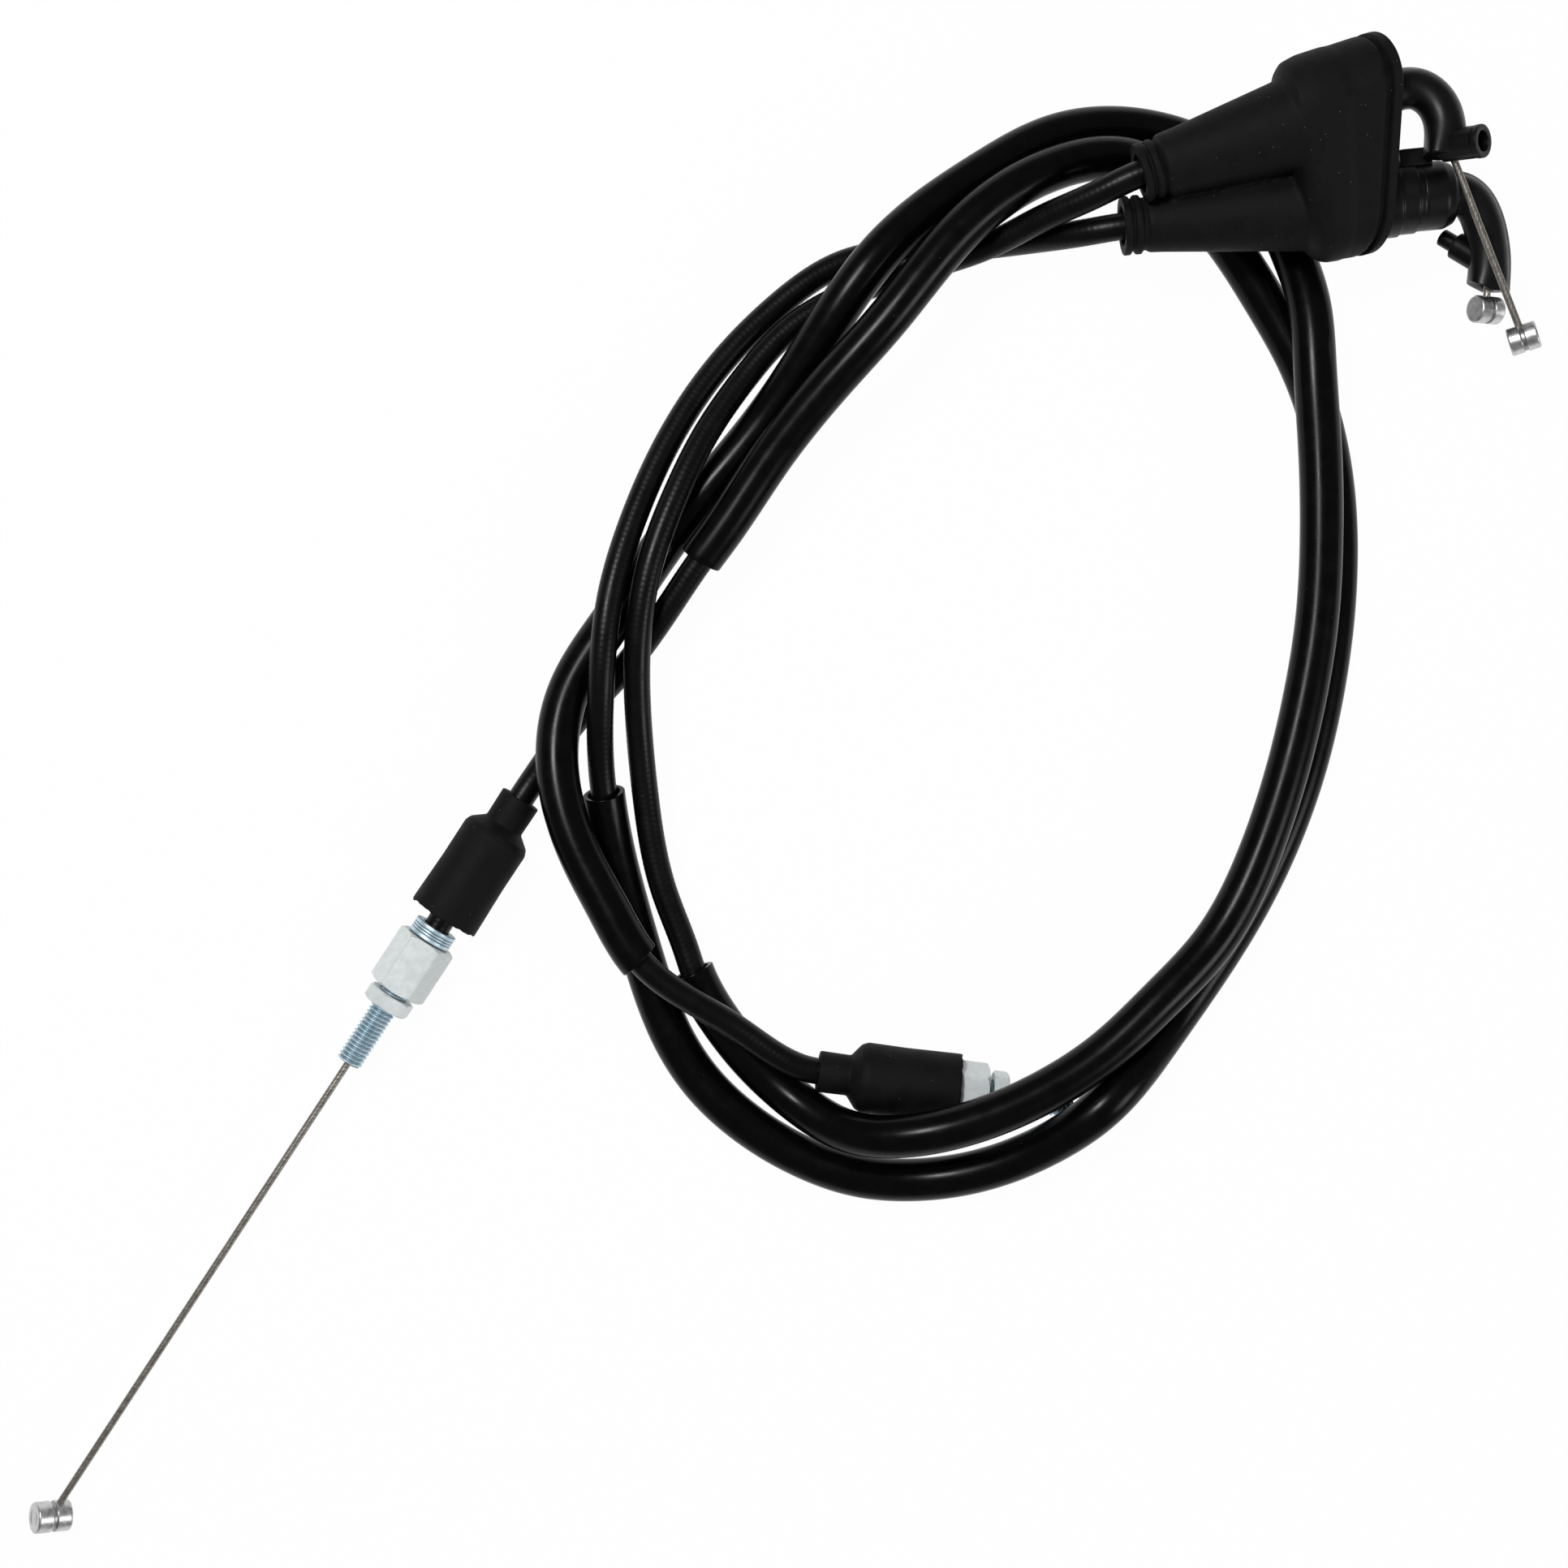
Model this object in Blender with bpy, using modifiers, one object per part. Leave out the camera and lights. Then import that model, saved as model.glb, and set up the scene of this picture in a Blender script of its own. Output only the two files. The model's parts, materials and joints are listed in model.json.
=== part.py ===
"""Dual throttle cable set: two coiled control cables that share one rubber boot.

Sizes are in millimetres and become metres where geometry is made. The frame is +X right, +Y up the coil
as it lies and +Z up from the floor. U is the cable in the boot's upper leg, L the one in its lower leg.
"""

import math

import bmesh
import bpy
import numpy as np
from mathutils import Matrix, Vector

MM = 0.001

# Where the coil lies, so that its box is centred on the origin
COIL_X = 2.6
COIL_Y = 3.7

# Cable
WIRE_R = 0.8
WIRE_CLEAR = 0.4
SHEATH_R = 3.0
SHEATH_BORE_R = WIRE_R + WIRE_CLEAR
SLEEVE_CLEAR = 0.7
SLEEVE_WALL = 1.1
SLEEVE_R = SHEATH_R + SLEEVE_CLEAR + SLEEVE_WALL
TURN_STEP = math.radians(17)
LONGEST_STEP = 24.0

# Clearances, and how far a cutter reaches past what it cuts
FIT = 0.3
CUT_PAST = 2.0

# Shank axes: where each cable leaves the boot's collar, and where its elbow starts to bend
UPPER_COLLAR = Vector((78.8, 132.2, 33.5))
UPPER_BEND = Vector((132.0, 149.1, 34.5))
LOWER_COLLAR = Vector((76.1, 122.1, 25.5))
LOWER_BEND = Vector((146.5, 129.1, 25.0))

# Conduit ferrules in the elbows
FERRULE_WALL = 0.3
FERRULE_R = SHEATH_R + FIT + FERRULE_WALL
FERRULE_LENGTH = 10.0
FERRULE_END_WALL = 1.0
FERRULE_HOLE_CLEAR = 0.5
FERRULE_HOLE_R = WIRE_R + FERRULE_HOLE_CLEAR

# Elbows
ELBOW_R = 4.3
UPPER_SOCKET_WALL = 1.6
UPPER_SOCKET_R = FERRULE_R + FIT + UPPER_SOCKET_WALL
LOWER_SOCKET_WALL = 1.3
LOWER_SOCKET_R = FERRULE_R + FIT + LOWER_SOCKET_WALL
SOCKET_FROM = 6.0
SOCKET_LENGTH = 14.0
LOWER_SOCKET_FROM = 1.5
LOWER_SOCKET_LENGTH = 18.5
ELBOW_BORE_CLEAR = 0.7
ELBOW_BORE_R = WIRE_R + ELBOW_BORE_CLEAR
BORE_BACK = 12.0
BORE_PAST = 5.0
SOCKET_OVERLAP = 4.0
STUB_R = 3.45
STUB_BORE_R = 2.2
STUB_LENGTH = 9.4
STUB_BORE_DEPTH = 4.5
PEG_R = 3.0
PEG_LENGTH = 7.6
PEG_TIP_R = 1.9
PEG_TIP_LENGTH = 3.8

# Barrel on the lower elbow
BARREL_BORE_R = LOWER_SOCKET_R + FIT
BARREL_WALL = 1.9
BARREL_R = BARREL_BORE_R + BARREL_WALL
BARREL_LENGTH = 19.0
BARREL_DOME = 2.4
BARREL_DOME_SHARE = 0.16
BARREL_FACE_SHARE = 0.32
BARREL_FACE_AT = 0.2
BARREL_RING_HEIGHT = 0.8
BARREL_RING_R = BARREL_R + BARREL_RING_HEIGHT
BARREL_RING_LENGTH = 6.0
KEY_LENGTH = 6.0
KEY_WIDTH = 4.4
KEY_HEIGHT = 2.4
KEY_ROOT = 0.3
KEY_UP = 2.8
KEY_LAP = 0.4

# Throttle boot; its mouth is two half circles, and the lower one's centre is given
MOUTH_LOW = Vector((132.837, 128.911, 25.119))
BOOT_YAW = math.radians(15)
BOOT_ROLL = math.radians(24)
HEAD_SPAN = 24.0
HEAD_LENGTH = 19.0
HEAD_WALL = 1.3
HEAD_CLEAR = 1.5
HEAD_CAP_R = BARREL_RING_R + HEAD_CLEAR + HEAD_WALL
LIP_HEIGHT = 0.5
LIP_LENGTH = 1.6
RIM_BACK = 3.0
RIM_END_REACH = 5.0
RIM_TOP_REACH = 3.0
LEG_WALL = 2.0
LEG_INTO_HEAD = 4.0
HEAD_BACK_ROUND = 2.4
HEAD_BACK_INSET = 4.6
HEAD_SHOULDER = 3.0
COLLAR_CLEAR = 1.3
COLLAR_BORE_R = SHEATH_R + COLLAR_CLEAR
COLLAR_WALL = 1.4
COLLAR_LENGTH = 4.6
BEAD_HEIGHT = 0.7
COLLAR_R = COLLAR_BORE_R + COLLAR_WALL + BEAD_HEIGHT
BEAD_LENGTH = 1.4
BEAD_GAP = 0.8
BEAD_SLOPE = 0.3
UPPER_LEG_TAIL_R = 7.0
UPPER_LEG_HEAD_R = 10.2
LOWER_LEG_TAIL_R = 6.3
LOWER_LEG_HEAD_R = 9.3

# Nipples
THROTTLE_NIPPLE_R = 3.0
THROTTLE_NIPPLE_LENGTH = 6.4
CARB_NIPPLE_R = 3.5
CARB_NIPPLE_LENGTH = 8.0
GROOVE_DEPTH = 0.35
GROOVE_WIDTH = 0.9
NIPPLE_HOLE_R = WIRE_R + FIT
NIPPLE_HOLE_PAST = 1.6

# Carburettor end, measured along its axis from the boot's neck on the lower cable
HEX_LENGTH = 13.3
HEX_FLATS = 12.0
HEX_CHAMFER = 0.6
HEX_TURN = math.radians(25.6)
HEX_CORNER = HEX_FLATS / 2 / math.cos(math.pi / 6)
CARB_BOOT_LENGTH = 31.6
CARB_BOOT_NECK_CLEAR = 0.4
CARB_BOOT_NECK_BORE_R = SHEATH_R + CARB_BOOT_NECK_CLEAR
CARB_BOOT_NECK_WALL = 1.25
CARB_BOOT_NECK_R = CARB_BOOT_NECK_BORE_R + CARB_BOOT_NECK_WALL
CARB_BOOT_NECK_LENGTH = 7.0
CARB_BOOT_SHOULDER = 3.6
CARB_BOOT_HEX_CLEAR = 0.37
CARB_BOOT_BORE_R = HEX_CORNER + CARB_BOOT_HEX_CLEAR
CARB_BOOT_WALL = 0.6
CARB_BOOT_R = CARB_BOOT_BORE_R + CARB_BOOT_WALL
CARB_BOOT_FLARE = 0.25
CARB_BOOT_MOUTH_R = CARB_BOOT_R + CARB_BOOT_FLARE
CARB_BOOT_ROUND = 0.9
CARB_BOOT_ROUND_LENGTH = 1.5
RING_STAND_OFF = 3.0
RING_AT = CARB_BOOT_LENGTH + RING_STAND_OFF
RING_LENGTH = 3.2
RING_WALL = 1.7
RING_R = SHEATH_R + FIT + RING_WALL
HEX_AT = RING_AT + RING_LENGTH + FIT
SHEATH_IN_HEX = 6.1
SHEATH_END = HEX_AT + SHEATH_IN_HEX
NUT_GAP = 1.2
NUT_AT = HEX_AT + HEX_LENGTH + NUT_GAP
NUT_LENGTH = 3.4
NUT_FLATS = 10.0
NUT_CHAMFER = 0.5
NUT_TURN = math.radians(8.6)
STUD_GAP = 0.4
STUD_AT = SHEATH_END + STUD_GAP
STUD_SHOWN = 15.0
STUD_END = NUT_AT + NUT_LENGTH + STUD_SHOWN
STUD_R = 3.0
STUD_BORE_R = WIRE_R + WIRE_CLEAR
STUD_CHAMFER = 0.35

# Carburettor axes: the place of the boot's neck, and which way the thread points
UPPER_NECK = Vector((7.6, -64.4, 10.3))
UPPER_CARB_WAY = Vector((0.9885, -0.139, -0.06)).normalized()
UPPER_BOOT_PUSH = 13.2
UPPER_BARE_WIRE = 5.0
UPPER_NIPPLE_AT = STUD_END + UPPER_BARE_WIRE
UPPER_WIRE_FROM = 15.0
LOWER_NECK = Vector((-59.1, -3.3, 9.2))
LOWER_CARB_WAY = Vector((-0.549, -0.836, -0.018)).normalized()
LOWER_BARE_WIRE = 123.1
LOWER_NIPPLE_AT = STUD_END + LOWER_BARE_WIRE
LOWER_CARB_NIPPLE_WAY = Vector((0.81, -0.06, -0.59))
LOWER_WIRE_FROM = 39.0
CORE_END_GAP = 1.0

# Route of each cable from its collar to its carburettor boot, chosen by hand along the photo's coil.
# A point is (x, y, height); the sleeve runs between the two points that the SLEEVE values give.
UPPER_ROUTE = [
    (67, 127.5, 30), (57, 124, 24.5), (44.5, 119, 17), (33.5, 116, 13), (21.5, 112.5, 10.5),
    (11.5, 108.5, 10), (2.5, 103, 10.5), (-9, 90.5, 12), (-17, 78.5, 15), (-24, 64, 18),
    (-30, 47, 19), (-32.5, 30, 17), (-32.5, 14, 12.5), (-31, -3.5, 9.5), (-27, -24, 8.5),
    (-22, -37.5, 8), (-20.5, -42, 8), (-15, -52.5, 6.5), (-6, -63.8, 5.5), (3.5, -72, 7.5),
    (13.5, -77.2, 13), (24, -78, 18.5), (34, -76.5, 20.8), (45, -73.3, 21), (58, -67.5, 20.5),
    (70.5, -59.5, 19.5), (83, -48, 18.5), (95, -35.5, 16.5), (104.5, -18.5, 15.5), (111, 0, 15.5),
    (115.5, 18, 15.5), (118.5, 37, 15.5), (119.5, 57, 15.5), (119, 77, 15.5), (118, 93, 15.5),
    (117, 107, 14), (114, 119, 10.5), (110, 129, 7.5), (101.5, 139.5, 5.5), (89, 146, 5),
    (74, 148, 7), (60, 145, 11), (45, 136.5, 15), (30.5, 126, 18.5), (19.5, 115, 20.5),
    (9, 100.5, 17.5), (-1, 86, 12), (-13, 71, 9), (-25.5, 56, 8.5), (-38, 37.5, 10),
    (-48, 21, 12), (-50.5, 4.5, 14.5), (-45.5, -15, 16.5), (-39, -27.5, 17.5), (-32, -39, 18),
    (-21.5, -47.5, 17), (-11, -54, 15),
]
UPPER_SLEEVE = ((-20.5, -42, 8), (-32, -39, 18))
LOWER_ROUTE = [
    (66, 121, 23), (56, 121, 15.5), (46, 121, 9), (35.5, 120.5, 6.5), (24.5, 120, 6),
    (13.5, 117.5, 7), (-1, 108, 8), (-14.5, 94, 10), (-25.5, 77, 13.5), (-33.5, 58.5, 17),
    (-38.5, 40.5, 19.5), (-40.5, 21, 18), (-41, 6, 12), (-40.5, -2, 9), (-38, -17, 6),
    (-35, -28.5, 5), (-31.5, -40.5, 5), (-25, -57.5, 5), (-18, -68, 5), (-9.5, -76, 5),
    (3.5, -84, 5), (16.5, -88.6, 5), (30.5, -89.5, 5), (44.5, -87, 7.5), (58.5, -80.8, 12),
    (71, -71.5, 16.5), (84.5, -57, 9.5), (97.5, -39.5, 5.5), (108, -21.5, 5), (114.5, -6.5, 5),
    (119.5, 9.5, 5), (123.5, 31, 5), (125, 53, 5), (124, 69, 5), (121, 83.5, 5),
    (116, 96.5, 5), (109, 109, 5), (101.5, 120.5, 5.5), (93.5, 130, 7), (84.5, 136.5, 12),
    (73.5, 139, 16), (61.5, 136.5, 19.5), (48.5, 129.5, 23.5), (35, 117, 25.5), (22.5, 101.5, 25),
    (11.5, 89.5, 22.5), (-3, 72, 18), (-14, 56, 15.5), (-18.5, 50, 14.5), (-29, 35, 10.5),
    (-38.5, 23.5, 6), (-47.5, 14, 4), (-53.6, 5.2, 7),
]
LOWER_SLEEVE = ((-40.5, -2, 9), (-18.5, 50, 14.5))

# Centre lines of the elbows past the start of the bend, and of the wires that leave them
UPPER_ELBOW_ROUTE = [
    (135.6, 149.4, 34.7), (138.9, 147.6, 35), (141.1, 144.2, 35.3), (141.9, 140, 35.5), (141.9, 134.8, 35.5),
]
UPPER_WIRE_ROUTE = [
    (135.6, 149.4, 34.7), (138.9, 147.6, 35), (141.3, 144.2, 35.3), (142.3, 140, 35.4), (143.8, 134.5, 35.1),
]
UPPER_NIPPLE = Vector((160.3, 96.6, 30.0))
UPPER_NIPPLE_WAY = Vector((0.91, 0.28, 0.31))
UPPER_STUB = Vector((141.7, 137.0, 35.4))
UPPER_STUB_WAY = Vector((0.72, -0.05, 0.69))
LOWER_ELBOW_ROUTE = [
    (149.7, 128, 24.7), (152.2, 124.6, 24.3), (153.8, 119.6, 23.8), (154.5, 114, 23.2), (154.4, 108.2, 22.5),
]
LOWER_NIPPLE = Vector((154.3, 104.2, 22.0))
LOWER_NIPPLE_WAY = Vector((0.9, 0, -0.43))
LOWER_PEG = Vector((153.5, 114.5, 23.2))
LOWER_PEG_WAY = Vector((-0.70, 0.57, -0.43))

# Numbers of sides
TUBE_RESOLUTION = 2
WIRE_RESOLUTION = 1
ELBOW_RESOLUTION = 4
TURNED_SIDES = 24
SMALL_SIDES = 16
HEAD_SIDES = 14

# Clean scene, with one collection for the parts and one for what cuts or joins them
for old in list(bpy.data.objects):
    bpy.data.objects.remove(old, do_unlink=True)
parts = bpy.data.collections.new("throttle_cable_set")
helpers = bpy.data.collections.new("helpers")
bpy.context.scene.collection.children.link(parts)
bpy.context.scene.collection.children.link(helpers)
helpers.hide_render = True


def material(name, colour, metallic, roughness):
    made = bpy.data.materials.new(name)
    made.use_nodes = True
    shader = made.node_tree.nodes["Principled BSDF"]
    shader.inputs["Base Color"].default_value = (*colour, 1)
    shader.inputs["Metallic"].default_value = metallic
    shader.inputs["Roughness"].default_value = roughness
    return made


def dressed(obj, look):
    """Gives the object a material of its own: (colour, metallic, roughness)."""
    obj.data.materials.append(material("mat_" + obj.name, *look))
    return obj


RUBBER = ((0.02, 0.02, 0.02), 0.0, 0.8)
COVER = ((0.015, 0.015, 0.015), 0.0, 0.45)
GLOSS_HOSE = ((0.01, 0.01, 0.01), 0.0, 0.2)
PLASTIC = ((0.015, 0.015, 0.016), 0.0, 0.4)
STEEL = ((0.42, 0.40, 0.36), 1.0, 0.4)
ZINC = ((0.62, 0.66, 0.70), 1.0, 0.35)
NIPPLE_METAL = ((0.62, 0.62, 0.62), 1.0, 0.3)


def empty(name, parent, matrix):
    made = bpy.data.objects.new(name, None)
    parts.objects.link(made)
    made.parent = parent
    made.matrix_local = matrix
    return made


def frame_along(point, way, side):
    """A matrix at a point in millimetres: +Z runs along way, and +X lies near side."""
    z = Vector(way).normalized()
    y = z.cross(Vector(side)).normalized()
    x = y.cross(z)
    turn = Matrix((x, y, z)).transposed().to_4x4()
    return Matrix.Translation(Vector(point) * MM) @ turn


UP = Vector((0, 0, 1))
root = empty("coil", None, Matrix.Translation(Vector((COIL_X, COIL_Y, 0)) * MM))
upper_shank_way = (UPPER_BEND - UPPER_COLLAR).normalized()
lower_shank_way = (LOWER_BEND - LOWER_COLLAR).normalized()
upper_shank = empty("upper_shank_axis", root, frame_along(UPPER_BEND, -upper_shank_way, UP))
lower_shank = empty("lower_shank_axis", root, frame_along(LOWER_BEND, -lower_shank_way, UP))
upper_carb_zero = UPPER_NECK - UPPER_CARB_WAY * UPPER_BOOT_PUSH
upper_carb = empty("upper_carb_axis", root, frame_along(upper_carb_zero, UPPER_CARB_WAY, UP))
lower_carb = empty("lower_carb_axis", root, frame_along(LOWER_NECK, LOWER_CARB_WAY, UP))


def mesh_object(name, points, faces, parent, collection=parts):
    """Points are in millimetres, in the parent's frame."""
    data = bpy.data.meshes.new(name)
    data.from_pydata([tuple(Vector(p) * MM) for p in points], [], faces)
    obj = bpy.data.objects.new(name, data)
    collection.objects.link(obj)
    obj.parent = parent
    if collection is helpers:
        obj.hide_render = True
        obj.display_type = "WIRE"
    return obj


def turned(name, profile, parent, sides=TURNED_SIDES, hollow=True, collection=parts):
    """A profile of (radius, z) spun about the parent's Z: down the outer side, then up the inner one."""
    data = bpy.data.meshes.new(name)
    points = [(r * MM, 0, z * MM) for r, z in profile]
    edges = [(i, i + 1) for i in range(len(points) - 1)]
    if hollow:
        edges.append((len(points) - 1, 0))
    data.from_pydata(points, edges, [])
    obj = bpy.data.objects.new(name, data)
    collection.objects.link(obj)
    obj.parent = parent
    spin = obj.modifiers.new("spin", "SCREW")
    spin.steps = sides
    spin.render_steps = sides
    spin.use_merge_vertices = True
    spin.merge_threshold = 0.00001
    if collection is helpers:
        obj.hide_render = True
        obj.display_type = "WIRE"
    return obj


def rod(name, radius, low, high, parent, sides=SMALL_SIDES, collection=helpers):
    return turned(name, [(0, high), (radius, high), (radius, low), (0, low)], parent, sides, False, collection)


def curve_object(name, points, radius, resolution, caps, parent, collection=parts):
    """A round tube along points in millimetres."""
    data = bpy.data.curves.new(name, "CURVE")
    data.dimensions = "3D"
    data.bevel_depth = radius * MM
    data.bevel_resolution = resolution
    data.use_fill_caps = caps
    line = data.splines.new("POLY")
    line.points.add(len(points) - 1)
    for place, point in zip(line.points, points):
        place.co = (*(Vector(point) * MM), 1)
    obj = bpy.data.objects.new(name, data)
    collection.objects.link(obj)
    obj.parent = parent
    return obj


def tube_mesh(name, points, radius, resolution, caps, parent, collection=parts):
    """The same tube as a mesh, so that a modifier can cut it or thicken it."""
    guide = curve_object(name + "_guide", points, radius, resolution, caps, parent, helpers)
    bpy.context.view_layer.update()
    seen = guide.evaluated_get(bpy.context.evaluated_depsgraph_get())
    data = bpy.data.meshes.new_from_object(seen)
    data.name = name
    bpy.data.objects.remove(guide, do_unlink=True)
    shape = bmesh.new()
    shape.from_mesh(data)
    bmesh.ops.remove_doubles(shape, verts=shape.verts, dist=0.000001)
    bmesh.ops.recalc_face_normals(shape, faces=shape.faces)
    shape.to_mesh(data)
    shape.free()
    obj = bpy.data.objects.new(name, data)
    collection.objects.link(obj)
    obj.parent = parent
    if collection is helpers:
        obj.hide_render = True
        obj.display_type = "WIRE"
    return obj


def combine(obj, operation, other):
    made = obj.modifiers.new(other.name, "BOOLEAN")
    made.operation = operation
    made.solver = "EXACT"
    made.object = other


def spline(points, start_way, end_way, steps=24):
    """A smooth curve through the points, leaving and arriving along the given ways: (points, index)."""
    p = np.array(points, float)
    h = np.linalg.norm(np.diff(p, axis=0), axis=1)
    n = len(p)
    rows = np.zeros((n, n))
    right = np.zeros((n, 3))
    slope = np.diff(p, axis=0) / h[:, None]
    rows[0, :2] = 2 * h[0], h[0]
    right[0] = 6 * (slope[0] - np.array(start_way))
    rows[-1, -2:] = h[-1], 2 * h[-1]
    right[-1] = 6 * (np.array(end_way) - slope[-1])
    for i in range(1, n - 1):
        rows[i, i - 1 : i + 2] = h[i - 1], 2 * (h[i - 1] + h[i]), h[i]
        right[i] = 6 * (slope[i] - slope[i - 1])
    bend = np.linalg.solve(rows, right)
    made, index = [], []
    for i in range(n - 1):
        for u in np.arange(steps) / steps:
            x = u * h[i]
            y = h[i] - x
            cubic = (bend[i] * y**3 + bend[i + 1] * x**3) / (6 * h[i])
            line = (p[i] / h[i] - bend[i] * h[i] / 6) * y + (p[i + 1] / h[i] - bend[i + 1] * h[i] / 6) * x
            made.append(cubic + line)
            index.append(i + u)
    return np.array(made + [p[-1]]), np.array(index + [n - 1])


def thinned(curve, keep, turn_step=TURN_STEP, longest=LONGEST_STEP):
    """Drops points of a dense curve: a kept point every turn_step of bend or longest of length."""
    ways = np.diff(curve, axis=0)
    lengths = np.linalg.norm(ways, axis=1)
    ways = ways / lengths[:, None]
    kept = [0]
    turn = run = 0.0
    for i in range(1, len(curve) - 1):
        turn += math.acos(min(1.0, float(ways[i - 1] @ ways[i])))
        run += lengths[i - 1]
        if i in keep or turn >= turn_step or run >= longest:
            kept.append(i)
            turn = run = 0.0
    return kept + [len(curve) - 1]


def along(point, way, distance):
    return Vector(point) + Vector(way).normalized() * distance


def cable_line(collar, shank_way, start, route, neck, carb_way, sleeve, end):
    """The whole centre line of a conduit, straight in its shank and at its carburettor end.

    Returns its points and the places in them of the sleeve's two ends and of the boot's neck."""
    points = [collar, *map(Vector, route), neck]
    curve, index = spline(points, -shank_way, carb_way)
    marks = [int(np.searchsorted(index, 1 + route.index(place))) for place in sleeve]
    kept = thinned(curve, marks)
    line = [Vector(start)] + [Vector(curve[i]) for i in kept] + [Vector(end)]
    return line, 1 + kept.index(marks[0]), 1 + kept.index(marks[1]), len(line) - 2


def in_frame(parent, points):
    """Root-frame points in millimetres, given in the parent empty's own frame."""
    back = parent.matrix_local.inverted()
    return [(back @ (Vector(p) * MM)) / MM for p in points]


def cable(side, shank_way, bend, socket_from, socket_length, collar, route, neck, carb_way, sleeve, zero):
    """Sheath, sleeve and inner core wire of one cable."""
    conduit_start = socket_from + socket_length - FERRULE_LENGTH + FERRULE_END_WALL + FIT
    start = along(bend, shank_way, -conduit_start)
    end = along(zero, carb_way, SHEATH_END)
    line, first, last, at_neck = cable_line(collar, shank_way, start, route, neck, carb_way, sleeve, end)
    sheath = tube_mesh(side + "_sheath", line, SHEATH_R, TUBE_RESOLUTION, False, root)
    wall = sheath.modifiers.new("wall", "SOLIDIFY")
    wall.thickness = (SHEATH_R - SHEATH_BORE_R) * MM
    wall.offset = -1
    dressed(sheath, COVER)
    hose = tube_mesh(side + "_sleeve", line[first : last + 1], SLEEVE_R, TUBE_RESOLUTION, False, root)
    wall = hose.modifiers.new("wall", "SOLIDIFY")
    wall.thickness = SLEEVE_WALL * MM
    wall.offset = -1
    dressed(hose, GLOSS_HOSE)
    core = [along(start, shank_way, -3 * FIT - CORE_END_GAP)] + line[1 : at_neck + 1]
    core_wire = curve_object(side + "_core_wire", core, WIRE_R, WIRE_RESOLUTION, True, root)
    dressed(core_wire, STEEL)


cable(
    "upper", upper_shank_way, UPPER_BEND, SOCKET_FROM, SOCKET_LENGTH, UPPER_COLLAR, UPPER_ROUTE,
    UPPER_NECK, UPPER_CARB_WAY, UPPER_SLEEVE, upper_carb_zero,
)
cable(
    "lower", lower_shank_way, LOWER_BEND, LOWER_SOCKET_FROM, LOWER_SOCKET_LENGTH, LOWER_COLLAR, LOWER_ROUTE,
    LOWER_NECK, LOWER_CARB_WAY, LOWER_SLEEVE, LOWER_NECK,
)


def elbow(side, shank, shank_way, bend, route, socket_r, socket_from, socket_length):
    """Bent guide: a tube round the bend, a socket for the conduit's ferrule and a bore for the wire."""
    socket_end = socket_from + socket_length
    exit_way = (Vector(route[-1]) - Vector(route[-2])).normalized()
    curve, _ = spline([bend, *route], shank_way, exit_way, 12)
    kept = thinned(curve, [])
    line = [along(bend, shank_way, -(socket_from + SOCKET_OVERLAP))] + [Vector(curve[i]) for i in kept]
    body = tube_mesh(side + "_elbow", in_frame(shank, line), ELBOW_R, ELBOW_RESOLUTION, True, shank)
    socket = rod(side + "_socket", socket_r, socket_from, socket_end, shank, TURNED_SIDES)
    combine(body, "UNION", socket)
    return body, socket_end


def elbow_bores(side, body, shank, bore_line, socket_end):
    line = in_frame(shank, bore_line)
    bore = tube_mesh(side + "_wire_bore", line, ELBOW_BORE_R, TUBE_RESOLUTION, True, shank, helpers)
    seat_low = socket_end - FERRULE_LENGTH - FIT
    seat = rod(side + "_ferrule_seat", FERRULE_R + FIT, seat_low, socket_end + CUT_PAST, shank)
    combine(body, "DIFFERENCE", bore)
    combine(body, "DIFFERENCE", seat)


def ferrule(side, shank, socket_end):
    """Cap on the conduit's end, inside the elbow's socket."""
    front = socket_end - FERRULE_LENGTH
    profile = [
        (FERRULE_R, socket_end - FIT), (FERRULE_R, front), (FERRULE_HOLE_R, front),
        (FERRULE_HOLE_R, front + FERRULE_END_WALL), (SHEATH_R + FIT, front + FERRULE_END_WALL),
        (SHEATH_R + FIT, socket_end - FIT),
    ]
    dressed(turned(side + "_conduit_ferrule", profile, shank, SMALL_SIDES), ZINC)


def nipple(name, radius, length, parent, centre, wire_way, own_way):
    """Barrel end across a wire: a grooved cylinder with a hole along the wire, which sits in it."""
    half = length / 2
    groove = radius - GROOVE_DEPTH
    edge = GROOVE_WIDTH / 2
    profile = [
        (0, half), (radius - GROOVE_DEPTH, half), (radius, half - GROOVE_DEPTH), (radius, edge),
        (groove, edge), (groove, -edge), (radius, -edge),
        (radius, GROOVE_DEPTH - half), (radius - GROOVE_DEPTH, -half), (0, -half),
    ]
    back = parent.matrix_local.inverted()
    hub = empty(name + "_hub", parent, back @ frame_along(centre, own_way, wire_way))
    body = turned(name, profile, hub, SMALL_SIDES, False)
    across = empty(name + "_hole_axis", parent, back @ frame_along(centre, wire_way, own_way))
    hole = rod(name + "_hole", NIPPLE_HOLE_R, -radius - CUT_PAST, NIPPLE_HOLE_PAST, across, SMALL_SIDES)
    combine(body, "DIFFERENCE", hole)
    return dressed(body, NIPPLE_METAL)


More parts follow.
